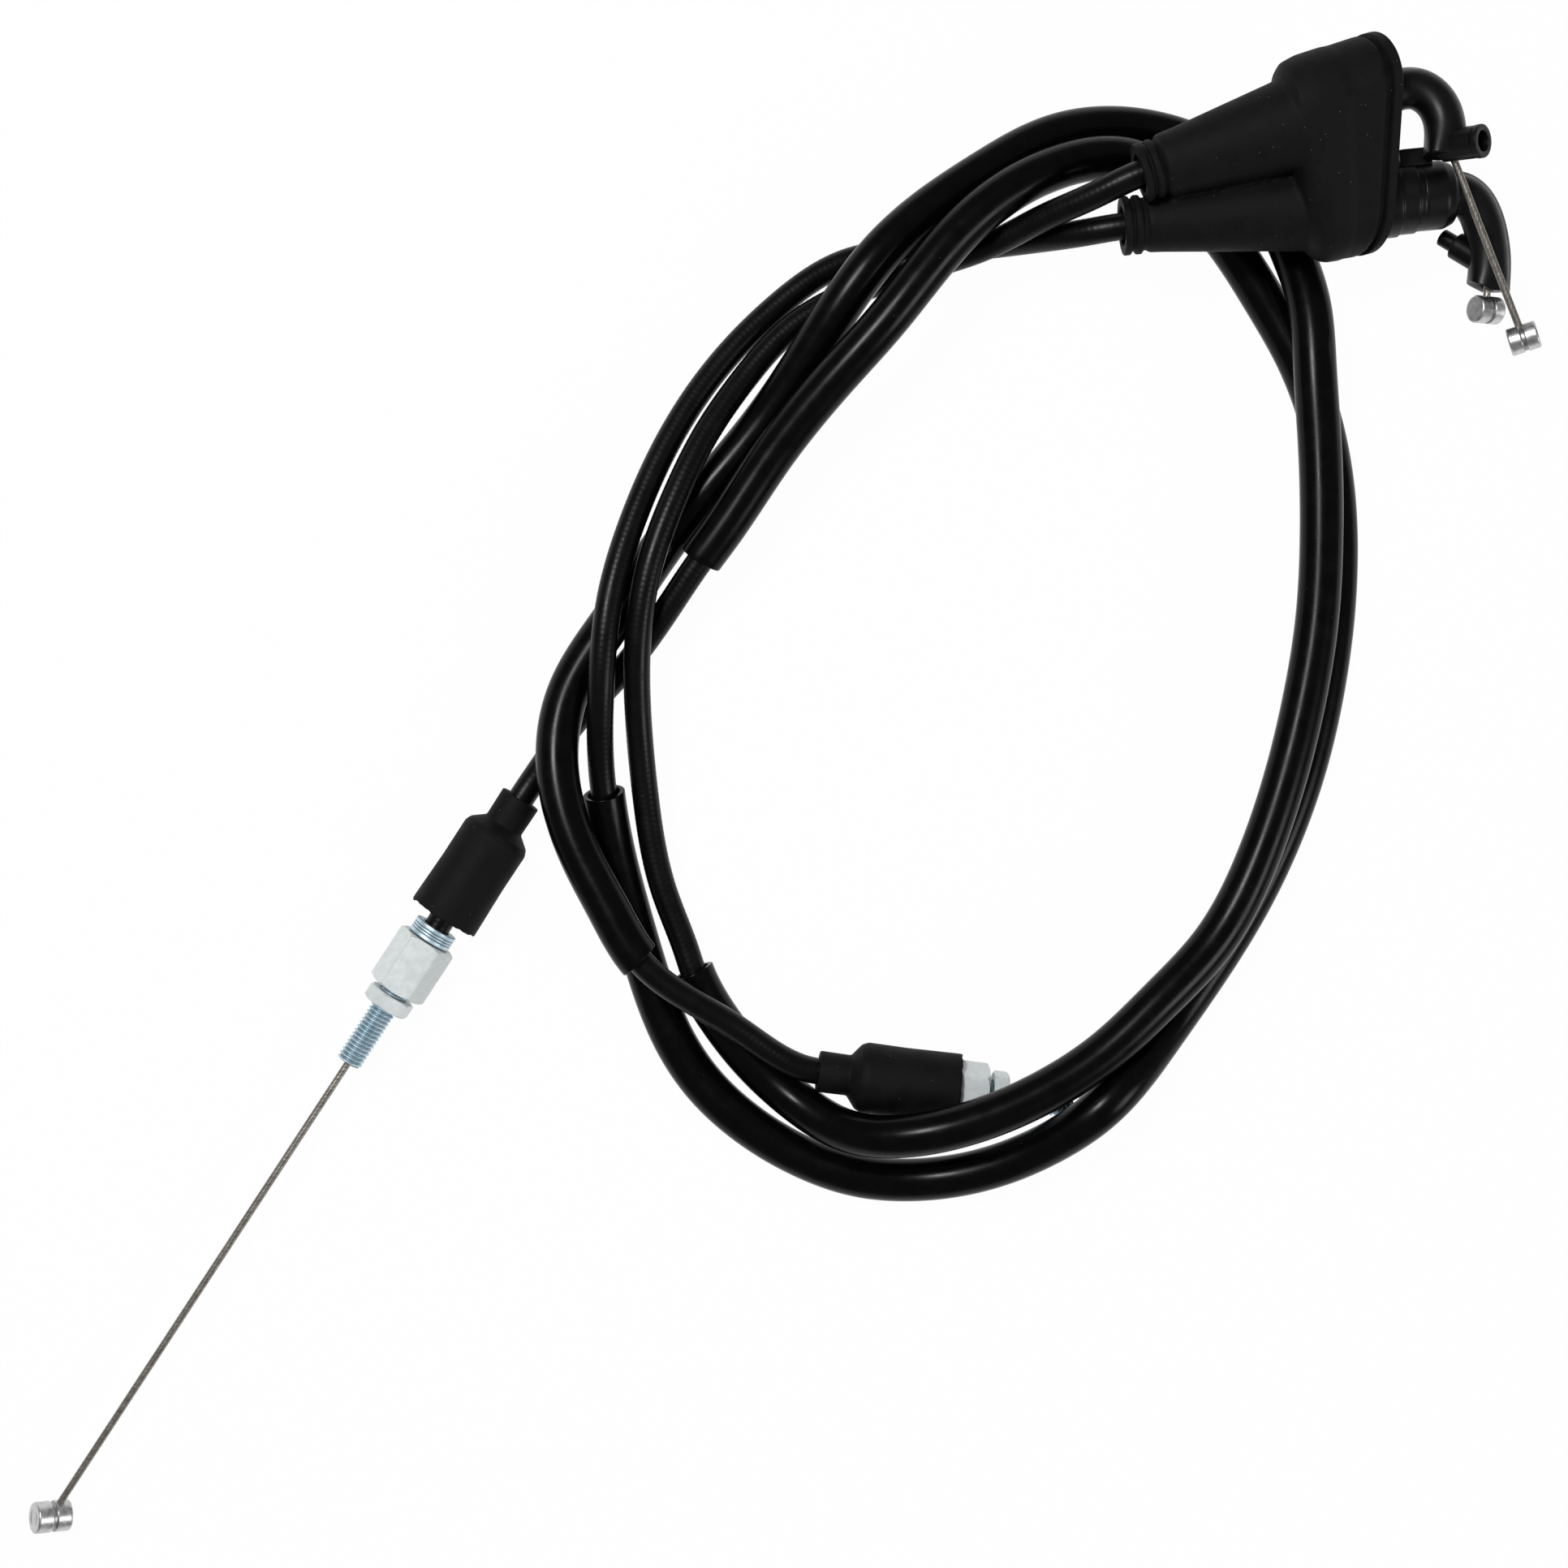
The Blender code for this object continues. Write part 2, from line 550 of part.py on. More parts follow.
# Upper elbow, its ferrule, wire and nipple
upper_exit = Vector(UPPER_WIRE_ROUTE[-1])
upper_wire_way = (UPPER_NIPPLE - upper_exit).normalized()
upper_wire_start = SOCKET_FROM + SOCKET_LENGTH - FERRULE_LENGTH + FERRULE_END_WALL + FIT + CORE_END_GAP
upper_curve, _ = spline([UPPER_BEND, *UPPER_WIRE_ROUTE], upper_shank_way, upper_wire_way, 12)
upper_bend_line = [Vector(upper_curve[i]) for i in thinned(upper_curve, [])]
upper_body, upper_socket_end = elbow(
    "upper", upper_shank, upper_shank_way, UPPER_BEND, UPPER_ELBOW_ROUTE,
    UPPER_SOCKET_R, SOCKET_FROM, SOCKET_LENGTH,
)
stub_place = upper_shank.matrix_local.inverted() @ frame_along(UPPER_STUB, UPPER_STUB_WAY, UP)
stub_axis = empty("upper_stub_axis", upper_shank, stub_place)
combine(upper_body, "UNION", rod("upper_stub", STUB_R, 0, STUB_LENGTH, stub_axis))
upper_bore = [along(UPPER_BEND, upper_shank_way, -BORE_BACK)] + upper_bend_line
upper_bore.append(along(upper_exit, upper_wire_way, BORE_PAST))
elbow_bores("upper", upper_body, upper_shank, upper_bore, upper_socket_end)
stub_floor = STUB_LENGTH - STUB_BORE_DEPTH
stub_bore = rod("upper_stub_bore", STUB_BORE_R, stub_floor, STUB_LENGTH + CUT_PAST, stub_axis)
combine(upper_body, "DIFFERENCE", stub_bore)
dressed(upper_body, PLASTIC)
ferrule("upper", upper_shank, upper_socket_end)
upper_wire = [along(UPPER_BEND, upper_shank_way, -upper_wire_start)] + upper_bend_line
upper_wire.append(along(UPPER_NIPPLE, upper_wire_way, NIPPLE_HOLE_PAST - FIT))
upper_wire_node = curve_object(
    "upper_throttle_wire", in_frame(upper_shank, upper_wire), WIRE_R, WIRE_RESOLUTION, True, upper_shank
)
dressed(upper_wire_node, STEEL)
nipple(
    "upper_throttle_nipple", THROTTLE_NIPPLE_R, THROTTLE_NIPPLE_LENGTH, upper_shank, UPPER_NIPPLE,
    upper_wire_way, UPPER_NIPPLE_WAY,
)

# Lower elbow, its ferrule, wire and nipple
lower_exit = Vector(LOWER_ELBOW_ROUTE[-1])
lower_wire_way = (LOWER_NIPPLE - lower_exit).normalized()
lower_wire_start = (
    LOWER_SOCKET_FROM + LOWER_SOCKET_LENGTH - FERRULE_LENGTH + FERRULE_END_WALL + FIT + CORE_END_GAP
)
lower_curve, _ = spline([LOWER_BEND, *LOWER_ELBOW_ROUTE], lower_shank_way, lower_wire_way, 12)
lower_bend_line = [Vector(lower_curve[i]) for i in thinned(lower_curve, [])]
lower_body, lower_socket_end = elbow(
    "lower", lower_shank, lower_shank_way, LOWER_BEND, LOWER_ELBOW_ROUTE,
    LOWER_SOCKET_R, LOWER_SOCKET_FROM, LOWER_SOCKET_LENGTH,
)
peg_place = lower_shank.matrix_local.inverted() @ frame_along(LOWER_PEG, LOWER_PEG_WAY, UP)
peg_axis = empty("lower_peg_axis", lower_shank, peg_place)
peg_end = PEG_LENGTH + PEG_TIP_LENGTH
peg_profile = [
    (0, peg_end), (PEG_TIP_R, peg_end), (PEG_TIP_R, PEG_LENGTH), (PEG_R, PEG_LENGTH), (PEG_R, 0), (0, 0),
]
combine(lower_body, "UNION", turned("lower_peg", peg_profile, peg_axis, SMALL_SIDES, False, helpers))
lower_bore = [along(LOWER_BEND, lower_shank_way, -BORE_BACK)] + lower_bend_line
lower_bore.append(along(lower_exit, lower_wire_way, BORE_PAST))
elbow_bores("lower", lower_body, lower_shank, lower_bore, lower_socket_end)
dressed(lower_body, PLASTIC)
ferrule("lower", lower_shank, lower_socket_end)
lower_wire = [along(LOWER_BEND, lower_shank_way, -lower_wire_start)] + lower_bend_line
lower_wire.append(along(LOWER_NIPPLE, lower_wire_way, NIPPLE_HOLE_PAST - FIT))
lower_wire_node = curve_object(
    "lower_throttle_wire", in_frame(lower_shank, lower_wire), WIRE_R, WIRE_RESOLUTION, True, lower_shank
)
dressed(lower_wire_node, STEEL)
nipple(
    "lower_throttle_nipple", THROTTLE_NIPPLE_R, THROTTLE_NIPPLE_LENGTH, lower_shank, LOWER_NIPPLE,
    lower_wire_way, LOWER_NIPPLE_WAY,
)

# Barrel round the lower elbow's socket, with its ring in the boot's mouth and its key
ring_low = BARREL_LENGTH - BARREL_RING_LENGTH
barrel_profile = [
    (BARREL_RING_R, BARREL_LENGTH), (BARREL_RING_R, ring_low), (BARREL_R, ring_low),
    (BARREL_R, BARREL_DOME), (BARREL_R - BARREL_DOME_SHARE * BARREL_WALL, BARREL_DOME / 2),
    (BARREL_BORE_R + BARREL_FACE_SHARE * BARREL_WALL, BARREL_FACE_AT), (BARREL_BORE_R, BARREL_FACE_AT),
    (BARREL_BORE_R, BARREL_LENGTH),
]
barrel = turned("lower_elbow_barrel", barrel_profile, lower_shank)
key_depth = BARREL_WALL - KEY_ROOT + KEY_HEIGHT
kx, ky, kz = KEY_LENGTH / 2, key_depth / 2, KEY_WIDTH / 2
key_points = [(x, y, z) for x in (-kz, kz) for y in (-ky, ky) for z in (-kx, kx)]
key_faces = [(0, 1, 3, 2), (4, 6, 7, 5), (0, 4, 5, 1), (2, 3, 7, 6), (0, 2, 6, 4), (1, 5, 7, 3)]
key = mesh_object("barrel_key", key_points, key_faces, lower_shank, helpers)
key.location = Vector((KEY_UP, BARREL_BORE_R + KEY_ROOT + ky, ring_low - kx + KEY_LAP)) * MM
combine(barrel, "UNION", key)
dressed(barrel, PLASTIC)

# Boot: an oval head, two tapered legs with beaded collars, and the hollow inside
head_way = Vector((math.cos(BOOT_YAW), math.sin(BOOT_YAW), 0))
head_side = UP.cross(head_way) * math.cos(BOOT_ROLL) + UP * math.sin(BOOT_ROLL)
half_span = HEAD_SPAN / 2
mouth = MOUTH_LOW + head_side * half_span
boot_frame = empty("boot_frame", root, frame_along(mouth, head_way, head_side))


def oval(apart, radius, z):
    """One closed section of the head: two half circles whose centres lie apart from the middle."""
    ring = []
    for end in (1, -1):
        for i in range(HEAD_SIDES + 1):
            angle = math.pi * (i / HEAD_SIDES - 0.5) + (0 if end == 1 else math.pi)
            ring.append((end * apart + radius * math.cos(angle), radius * math.sin(angle), z))
    return ring


def leaned(ring):
    """A section of the rim, which is cut aslant: furthest forward on top, and at the head's upper end."""
    span = half_span + HEAD_CAP_R
    return [
        (x, y, z - RIM_BACK + RIM_END_REACH * x / span + RIM_TOP_REACH * y / HEAD_CAP_R) for x, y, z in ring
    ]


def lofted(name, sections, parent, collection=parts, rim=0):
    """A closed solid through ovals that are given from low to high z; the last few are the rim's."""
    points, faces = [], []
    for k, section in enumerate(sections):
        ring = oval(*section)
        points += leaned(ring) if k >= len(sections) - rim else ring
    n = len(points) // len(sections)
    for k in range(len(sections) - 1):
        for i in range(n):
            j = (i + 1) % n
            faces.append((k * n + i, k * n + j, (k + 1) * n + j, (k + 1) * n + i))
    faces.append(tuple(reversed(range(n))))
    faces.append(tuple(range(len(points) - n, len(points))))
    return mesh_object(name, points, faces, parent, collection)


groove_r = HEAD_CAP_R - LIP_HEIGHT
back_middle = -HEAD_LENGTH - 0.7 * HEAD_BACK_ROUND
lip_r = HEAD_CAP_R + 0.4 * LIP_HEIGHT
boot = lofted(
    "throttle_boot",
    [
        (half_span - 0.5 * HEAD_BACK_INSET, HEAD_CAP_R - HEAD_BACK_INSET, -HEAD_LENGTH - HEAD_BACK_ROUND),
        (half_span - 0.2 * HEAD_BACK_INSET, HEAD_CAP_R - 0.4 * HEAD_BACK_INSET, back_middle),
        (half_span - 0.1 * HEAD_BACK_INSET, HEAD_CAP_R - 0.1 * HEAD_BACK_INSET, -HEAD_LENGTH),
        (half_span - 0.1 * HEAD_BACK_INSET, HEAD_CAP_R, -HEAD_LENGTH + HEAD_SHOULDER),
        (half_span, HEAD_CAP_R, -2 * LIP_LENGTH),
        (half_span, groove_r, -1.8 * LIP_LENGTH),
        (half_span, groove_r, -1.25 * LIP_LENGTH),
        (half_span, lip_r, -LIP_LENGTH),
        (half_span, lip_r, 0),
    ],
    boot_frame,
    rim=5,
)


def leg(name, collar, way, tail_r, head_r):
    """Outer and inner shapes of one leg, along its own axis from the collar's end."""
    tail = along(collar, way, -COLLAR_LENGTH / 2)
    reach = (mouth - head_way * HEAD_LENGTH - tail).dot(head_way) / way.dot(head_way)
    axis = empty(name + "_axis", root, frame_along(tail, way, UP))
    far = reach + LEG_INTO_HEAD
    waist = COLLAR_R - BEAD_HEIGHT
    bead = BEAD_LENGTH + BEAD_GAP
    outer = [
        (0, far), (head_r, far), (head_r, reach), (tail_r, COLLAR_LENGTH + BEAD_HEIGHT), (waist, COLLAR_LENGTH),
        (waist, bead + BEAD_LENGTH + BEAD_SLOPE), (COLLAR_R, bead + BEAD_LENGTH), (COLLAR_R, bead + BEAD_SLOPE),
        (waist, bead), (waist, BEAD_LENGTH + BEAD_SLOPE), (COLLAR_R, BEAD_LENGTH), (COLLAR_R, 0), (0, 0),
    ]
    bore_end = far + 2 * CUT_PAST
    inner = [
        (0, bore_end), (head_r - LEG_WALL, bore_end), (head_r - LEG_WALL, reach),
        (tail_r - LEG_WALL, COLLAR_LENGTH + LEG_WALL), (COLLAR_BORE_R, COLLAR_LENGTH),
        (COLLAR_BORE_R, -CUT_PAST), (0, -CUT_PAST),
    ]
    shape = turned(name, outer, axis, TURNED_SIDES, False, helpers)
    hollow = turned(name + "_hollow", inner, axis, SMALL_SIDES, False, helpers)
    return shape, hollow


upper_leg, upper_hollow = leg("upper_leg", UPPER_COLLAR, upper_shank_way, UPPER_LEG_TAIL_R, UPPER_LEG_HEAD_R)
lower_leg, lower_hollow = leg("lower_leg", LOWER_COLLAR, lower_shank_way, LOWER_LEG_TAIL_R, LOWER_LEG_HEAD_R)
head_bore = HEAD_CAP_R - HEAD_WALL
head_hollow = lofted(
    "head_hollow",
    [
        (half_span - 0.1 * HEAD_BACK_INSET, head_bore - 0.1 * HEAD_BACK_INSET, -HEAD_LENGTH + HEAD_WALL),
        (half_span, head_bore, -HEAD_LENGTH + HEAD_SHOULDER),
        (half_span, head_bore, RIM_END_REACH + RIM_TOP_REACH + CUT_PAST),
    ],
    boot_frame,
    helpers,
)
combine(boot, "UNION", upper_leg)
combine(boot, "UNION", lower_leg)
combine(boot, "DIFFERENCE", head_hollow)
combine(boot, "DIFFERENCE", upper_hollow)
combine(boot, "DIFFERENCE", lower_hollow)
dressed(boot, RUBBER)


def hexagon(name, flats, at, length, chamfer, turn, axis, conduit_room=0.0):
    """A six-sided piece with chamfered corners, bored for the stud and, so far in, for the conduit."""
    corner = flats / 2 / math.cos(math.pi / 6)
    profile = [
        (0, length), (corner - chamfer, length), (corner, length - chamfer), (corner, chamfer),
        (corner - chamfer, 0), (0, 0),
    ]
    place = Matrix.Translation((0, 0, at * MM)) @ Matrix.Rotation(turn, 4, "Z")
    seat = empty(name + "_seat", axis, place)
    body = turned(name, profile, seat, 6, False)
    wide, narrow, top = SHEATH_R + FIT, STUD_R + FIT, length + CUT_PAST
    bore = [(0, top), (narrow, top), (narrow, -CUT_PAST), (0, -CUT_PAST)]
    if conduit_room:
        bore[2:3] = [(narrow, conduit_room + STUD_GAP), (wide, conduit_room), (wide, -CUT_PAST)]
    combine(body, "DIFFERENCE", turned(name + "_bore", bore, seat, SMALL_SIDES, False, helpers))
    return dressed(body, ZINC)


def carb_end(side, axis, boot_at, wire_from, nipple_at, zero, way, nipple_way):
    """Everything at one carburettor end, along its axis."""
    boot_seat = empty(side + "_carb_boot_seat", axis, Matrix.Translation((0, 0, boot_at * MM)))
    shoulder = CARB_BOOT_NECK_LENGTH + CARB_BOOT_SHOULDER
    profile = [
        (CARB_BOOT_MOUTH_R, CARB_BOOT_LENGTH), (CARB_BOOT_R, shoulder),
        (CARB_BOOT_R - CARB_BOOT_ROUND, shoulder - CARB_BOOT_ROUND_LENGTH),
        (CARB_BOOT_NECK_R, CARB_BOOT_NECK_LENGTH), (CARB_BOOT_NECK_R, 0), (CARB_BOOT_NECK_BORE_R, 0),
        (CARB_BOOT_NECK_BORE_R, CARB_BOOT_NECK_LENGTH), (CARB_BOOT_BORE_R, shoulder),
        (CARB_BOOT_BORE_R, CARB_BOOT_LENGTH),
    ]
    dressed(turned(side + "_carb_boot", profile, boot_seat), RUBBER)
    ring = [
        (RING_R, RING_AT + RING_LENGTH), (RING_R, RING_AT), (SHEATH_R + FIT, RING_AT),
        (SHEATH_R + FIT, RING_AT + RING_LENGTH),
    ]
    dressed(turned(side + "_end_ferrule", ring, axis), ZINC)
    hexagon(side + "_adjuster_hex", HEX_FLATS, HEX_AT, HEX_LENGTH, HEX_CHAMFER, HEX_TURN, axis, SHEATH_IN_HEX)
    hexagon(side + "_lock_nut", NUT_FLATS, NUT_AT, NUT_LENGTH, NUT_CHAMFER, NUT_TURN, axis)
    stud = [
        (STUD_R - STUD_CHAMFER, STUD_END), (STUD_R, STUD_END - STUD_CHAMFER), (STUD_R, STUD_AT),
        (STUD_BORE_R, STUD_AT), (STUD_BORE_R, STUD_END),
    ]
    dressed(turned(side + "_threaded_stud", stud, axis, SMALL_SIDES), ZINC)
    wire_end = nipple_at + NIPPLE_HOLE_PAST - FIT
    wire = [(0, 0, wire_from), (0, 0, (wire_from + wire_end) / 2), (0, 0, wire_end)]
    dressed(curve_object(side + "_carb_wire", wire, WIRE_R, TUBE_RESOLUTION, True, axis), STEEL)
    centre = along(zero, way, nipple_at)
    nipple(side + "_carb_nipple", CARB_NIPPLE_R, CARB_NIPPLE_LENGTH, axis, centre, way, nipple_way)


carb_end(
    "upper", upper_carb, UPPER_BOOT_PUSH, UPPER_WIRE_FROM, UPPER_NIPPLE_AT, upper_carb_zero, UPPER_CARB_WAY,
    UP.cross(UPPER_CARB_WAY),
)
carb_end(
    "lower", lower_carb, 0, LOWER_WIRE_FROM, LOWER_NIPPLE_AT, LOWER_NECK, LOWER_CARB_WAY, LOWER_CARB_NIPPLE_WAY,
)
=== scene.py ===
"""Looks of the dual throttle cable set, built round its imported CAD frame.

Sizes are millimetres in the coil's own frame, as in the CAD, and become metres of the frame in skin().
Nearly every shape is a profile carried along a path: row i of a profile is (distance along the path,
radius), and a ring of points stands round the path there. U is the cable in the boot's upper leg.
"""

import json
import math

import bmesh
import bpy
import numpy as np
from mathutils import Matrix
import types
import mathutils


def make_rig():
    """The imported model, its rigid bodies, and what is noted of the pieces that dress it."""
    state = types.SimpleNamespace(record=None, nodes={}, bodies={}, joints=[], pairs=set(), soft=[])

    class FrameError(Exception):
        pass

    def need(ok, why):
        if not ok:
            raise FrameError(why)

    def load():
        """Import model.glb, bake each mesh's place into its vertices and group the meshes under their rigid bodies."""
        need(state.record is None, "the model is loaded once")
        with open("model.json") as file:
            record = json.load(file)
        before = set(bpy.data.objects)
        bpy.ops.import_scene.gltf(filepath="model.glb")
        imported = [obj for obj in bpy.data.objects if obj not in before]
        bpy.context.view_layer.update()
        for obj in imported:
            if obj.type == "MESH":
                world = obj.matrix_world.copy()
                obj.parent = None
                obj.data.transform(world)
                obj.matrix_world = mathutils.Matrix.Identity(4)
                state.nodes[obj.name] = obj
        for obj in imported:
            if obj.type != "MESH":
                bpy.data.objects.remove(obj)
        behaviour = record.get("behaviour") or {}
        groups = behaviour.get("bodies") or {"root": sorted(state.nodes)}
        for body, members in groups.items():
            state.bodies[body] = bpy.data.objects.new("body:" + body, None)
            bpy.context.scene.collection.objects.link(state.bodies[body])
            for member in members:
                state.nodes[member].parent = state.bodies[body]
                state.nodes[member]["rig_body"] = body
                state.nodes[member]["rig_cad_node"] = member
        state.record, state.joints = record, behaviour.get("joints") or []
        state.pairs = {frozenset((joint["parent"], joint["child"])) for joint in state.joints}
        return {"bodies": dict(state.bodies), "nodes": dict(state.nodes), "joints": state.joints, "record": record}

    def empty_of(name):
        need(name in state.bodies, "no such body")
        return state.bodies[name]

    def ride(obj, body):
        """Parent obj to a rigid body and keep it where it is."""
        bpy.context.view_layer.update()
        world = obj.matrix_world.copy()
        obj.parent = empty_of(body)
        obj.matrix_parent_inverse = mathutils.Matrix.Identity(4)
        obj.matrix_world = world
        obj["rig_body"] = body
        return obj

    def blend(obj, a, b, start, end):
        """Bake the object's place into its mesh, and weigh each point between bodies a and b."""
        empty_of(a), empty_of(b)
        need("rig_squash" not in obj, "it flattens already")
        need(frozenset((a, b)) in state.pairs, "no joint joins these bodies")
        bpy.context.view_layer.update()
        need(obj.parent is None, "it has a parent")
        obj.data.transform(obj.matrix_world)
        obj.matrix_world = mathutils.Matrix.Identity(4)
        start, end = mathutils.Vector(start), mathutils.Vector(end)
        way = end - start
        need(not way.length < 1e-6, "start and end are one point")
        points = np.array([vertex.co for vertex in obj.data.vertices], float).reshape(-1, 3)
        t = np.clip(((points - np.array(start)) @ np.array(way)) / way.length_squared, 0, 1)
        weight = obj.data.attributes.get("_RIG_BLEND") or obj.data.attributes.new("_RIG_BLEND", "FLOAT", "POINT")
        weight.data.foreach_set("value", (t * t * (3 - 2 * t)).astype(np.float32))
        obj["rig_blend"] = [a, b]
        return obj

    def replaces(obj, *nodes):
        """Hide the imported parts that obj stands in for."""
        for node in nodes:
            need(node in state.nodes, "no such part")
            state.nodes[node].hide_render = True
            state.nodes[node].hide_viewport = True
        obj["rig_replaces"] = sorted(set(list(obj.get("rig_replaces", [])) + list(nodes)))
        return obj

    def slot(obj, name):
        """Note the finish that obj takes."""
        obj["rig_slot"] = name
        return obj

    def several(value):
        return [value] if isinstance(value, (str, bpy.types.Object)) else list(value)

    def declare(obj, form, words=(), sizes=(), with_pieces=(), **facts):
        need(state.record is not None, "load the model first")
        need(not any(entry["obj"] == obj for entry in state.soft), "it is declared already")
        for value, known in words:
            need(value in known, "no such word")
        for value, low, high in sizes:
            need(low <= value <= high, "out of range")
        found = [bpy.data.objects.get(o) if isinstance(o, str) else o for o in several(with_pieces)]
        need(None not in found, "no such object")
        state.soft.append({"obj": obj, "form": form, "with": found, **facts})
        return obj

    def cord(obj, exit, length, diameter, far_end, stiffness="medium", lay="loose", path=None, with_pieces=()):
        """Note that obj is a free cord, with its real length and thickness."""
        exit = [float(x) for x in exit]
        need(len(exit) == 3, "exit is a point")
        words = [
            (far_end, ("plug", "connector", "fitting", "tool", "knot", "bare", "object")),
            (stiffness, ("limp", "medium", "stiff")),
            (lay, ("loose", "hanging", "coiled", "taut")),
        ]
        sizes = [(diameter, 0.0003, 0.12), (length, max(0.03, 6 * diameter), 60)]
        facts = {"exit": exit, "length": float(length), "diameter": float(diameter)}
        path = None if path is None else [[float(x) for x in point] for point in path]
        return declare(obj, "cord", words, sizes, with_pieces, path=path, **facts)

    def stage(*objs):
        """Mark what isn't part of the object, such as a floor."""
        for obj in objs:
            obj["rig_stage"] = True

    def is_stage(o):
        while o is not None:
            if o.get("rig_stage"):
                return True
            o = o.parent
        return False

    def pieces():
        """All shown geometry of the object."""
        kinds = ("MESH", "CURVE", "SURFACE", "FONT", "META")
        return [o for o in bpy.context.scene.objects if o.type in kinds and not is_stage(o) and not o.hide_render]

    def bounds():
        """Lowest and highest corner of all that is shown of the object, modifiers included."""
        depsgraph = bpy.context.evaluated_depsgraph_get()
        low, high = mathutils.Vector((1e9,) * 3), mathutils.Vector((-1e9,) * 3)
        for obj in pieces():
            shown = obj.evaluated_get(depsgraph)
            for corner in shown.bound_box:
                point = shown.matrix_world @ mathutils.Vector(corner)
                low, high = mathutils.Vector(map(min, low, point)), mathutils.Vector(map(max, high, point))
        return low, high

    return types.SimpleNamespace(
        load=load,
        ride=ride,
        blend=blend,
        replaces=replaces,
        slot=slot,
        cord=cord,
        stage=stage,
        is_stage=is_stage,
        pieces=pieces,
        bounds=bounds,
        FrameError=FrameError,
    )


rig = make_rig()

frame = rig.load()
cad_box = [[float(v) for v in corner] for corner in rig.bounds()]

MM = 0.001
COIL_SHIFT = np.array([2.6, 3.7, 0.0])
UP = np.array([0.0, 0.0, 1.0])

# Photograph: its side, its scale on the floor, and the camera that looks straight down on the coil
PHOTO_SIDE = 1932
PIXELS_PER_MM = 5.4
CAMERA_HEIGHT = 600.0
SENSOR = 36.0

# Cable
WIRE_R = 0.8
SHEATH_R = 3.0
SLEEVE_R = 4.8
SLEEVE_WALL = 1.1
WINDING_PITCH = 1.25
WINDING_HEIGHT = 0.012
WINDING_ROWS = 4
SHEATH_SIDES = 20
SLEEVE_SIDES = 40
SLEEVE_STEP = 1.6
STRANDS = 12
STRAND_LAY = 12.7
STRAND_DEPTH = 0.12
STRAND_SIDES = 6 * STRANDS
STRAND_STEP = 0.35
CONDUIT_INTO_SHANK = 45.0
CONDUIT_EXIT = 22.0
BARE_PAST_SLEEVE = 12
COVERED_STEP = 3.0
CORD_STEP = 4.0
WIRE_PAST_NIPPLE = 1.2
PULL_WIRE_BACK = 9.0

# Throttle boot; a leg is its radius at the tail and at the head
MOUTH = np.array([130.0, 139.5, 30.0])
BOOT_YAW = math.radians(15)
BOOT_ROLL = math.radians(24)
HEAD_CAP_R = 11.0
HEAD_CAP_AT = 12.0
HEAD_LENGTH = 19.0
HEAD_WALL = 1.3
LIP_HEIGHT = 0.5
LIP_LENGTH = 1.6
LEG_WALL = 2.0
LEG_INTO_HEAD = 4.0
RIM_BACK = 3.0
RIM_END_REACH = 5.0
RIM_TOP_REACH = 3.0
COLLAR_R = 6.4
COLLAR_BORE_R = 4.3
COLLAR_LENGTH = 4.6
BOOT_VOXEL = 0.5
BOOT_SMOOTHINGS = 5
UPPER_LEG = (7.0, 10.2)
LOWER_LEG = (6.3, 9.3)

# Shank axes and elbows; a socket is its radius and where it ends along its elbow
UPPER_COLLAR = np.array([78.8, 132.2, 33.5])
UPPER_BEND = np.array([132.0, 149.1, 34.5])
LOWER_COLLAR = np.array([76.1, 122.1, 25.5])
LOWER_BEND = np.array([146.5, 129.1, 25.0])
ELBOW_R = 4.3
UPPER_SOCKET = (5.5, 14.0)
LOWER_SOCKET = (5.2, 18.5)
SHANK_BACK = 20.0
ELBOW_BORE_R = 1.5
ELBOW_BORE_DEPTH = 7
SQUARE_STRETCH = 9
STUB_R = 3.45
STUB_BORE_R = 2.2
STUB_LENGTH = 9.4
STUB_BORE_DEPTH = 4.5
PEG_R = 3.0
PEG_LENGTH = 7.6
PEG_TIP_R = 1.9
PEG_TIP_LENGTH = 3.8
BARREL_R = 7.4
BARREL_LENGTH = 19.0
BARREL_RING_R = 8.2
BARREL_RING_LENGTH = 6.0
BARREL_BORE_R = 5.5
BARREL_STEP_R = BARREL_R + 0.35
BARREL_STEP_AT = 9.2
BARREL_LINE_AT = 7.8
KEY_LENGTH = 7.6
KEY_WIDTH = 4.0
KEY_HEIGHT = 4.4
KEY_RAISED = 2.8
KEY_PROUD = 0.4
KEY_PAST_RING = 0.4

# Carburettor end, along its axis from the bell's neck on the lower cable. The ring is its start, length
# and radius; hexagon and nut are start, length and width across flats; the stud is start, end and radius;
# a nib is its angle round the mouth, its height and its width as an angle
RING = (34.6, 3.2, 5.0)
HEX = (38.1, 13.3, 12.0)
NUT = (52.6, 3.4, 10.0)
HEX_TURN = math.radians(-4.4)
NUT_TURN = math.radians(38.6)
HEX_CORNER = 1.16
HEX_BORE_GAP = 0.25
CONE_SLOPE = 1.73
STUD = (44.6, 71.0, 3.0)
STUD_BORE_R = 1.2
STUD_BORE_DEPTH = 6
THREAD_PITCH = 1.0
THREAD_DEPTH = 0.5
SHEATH_END = 44.2
BELL_LENGTH = 31.6
BELL_NECK_R = 4.65
BELL_NECK_LENGTH = 7.0
BELL_SHOULDER = 3.6
BELL_R = 7.9
BELL_MOUTH_R = 8.15
BELL_BORE_R = 7.3
BELL_NECK_BORE_R = 3.4
MOUTH_NIBS = [(math.radians(75), 0.3, 0.12), (math.radians(95), -0.35, 0.10), (math.radians(265), 0.4, 0.08)]
UPPER_NECK = np.array([7.6, -64.4, 10.3])
UPPER_CARB_WAY = np.array([0.9885, -0.139, -0.06])
UPPER_BELL_PUSH = 13.2
UPPER_WIRE_FROM = 15.0
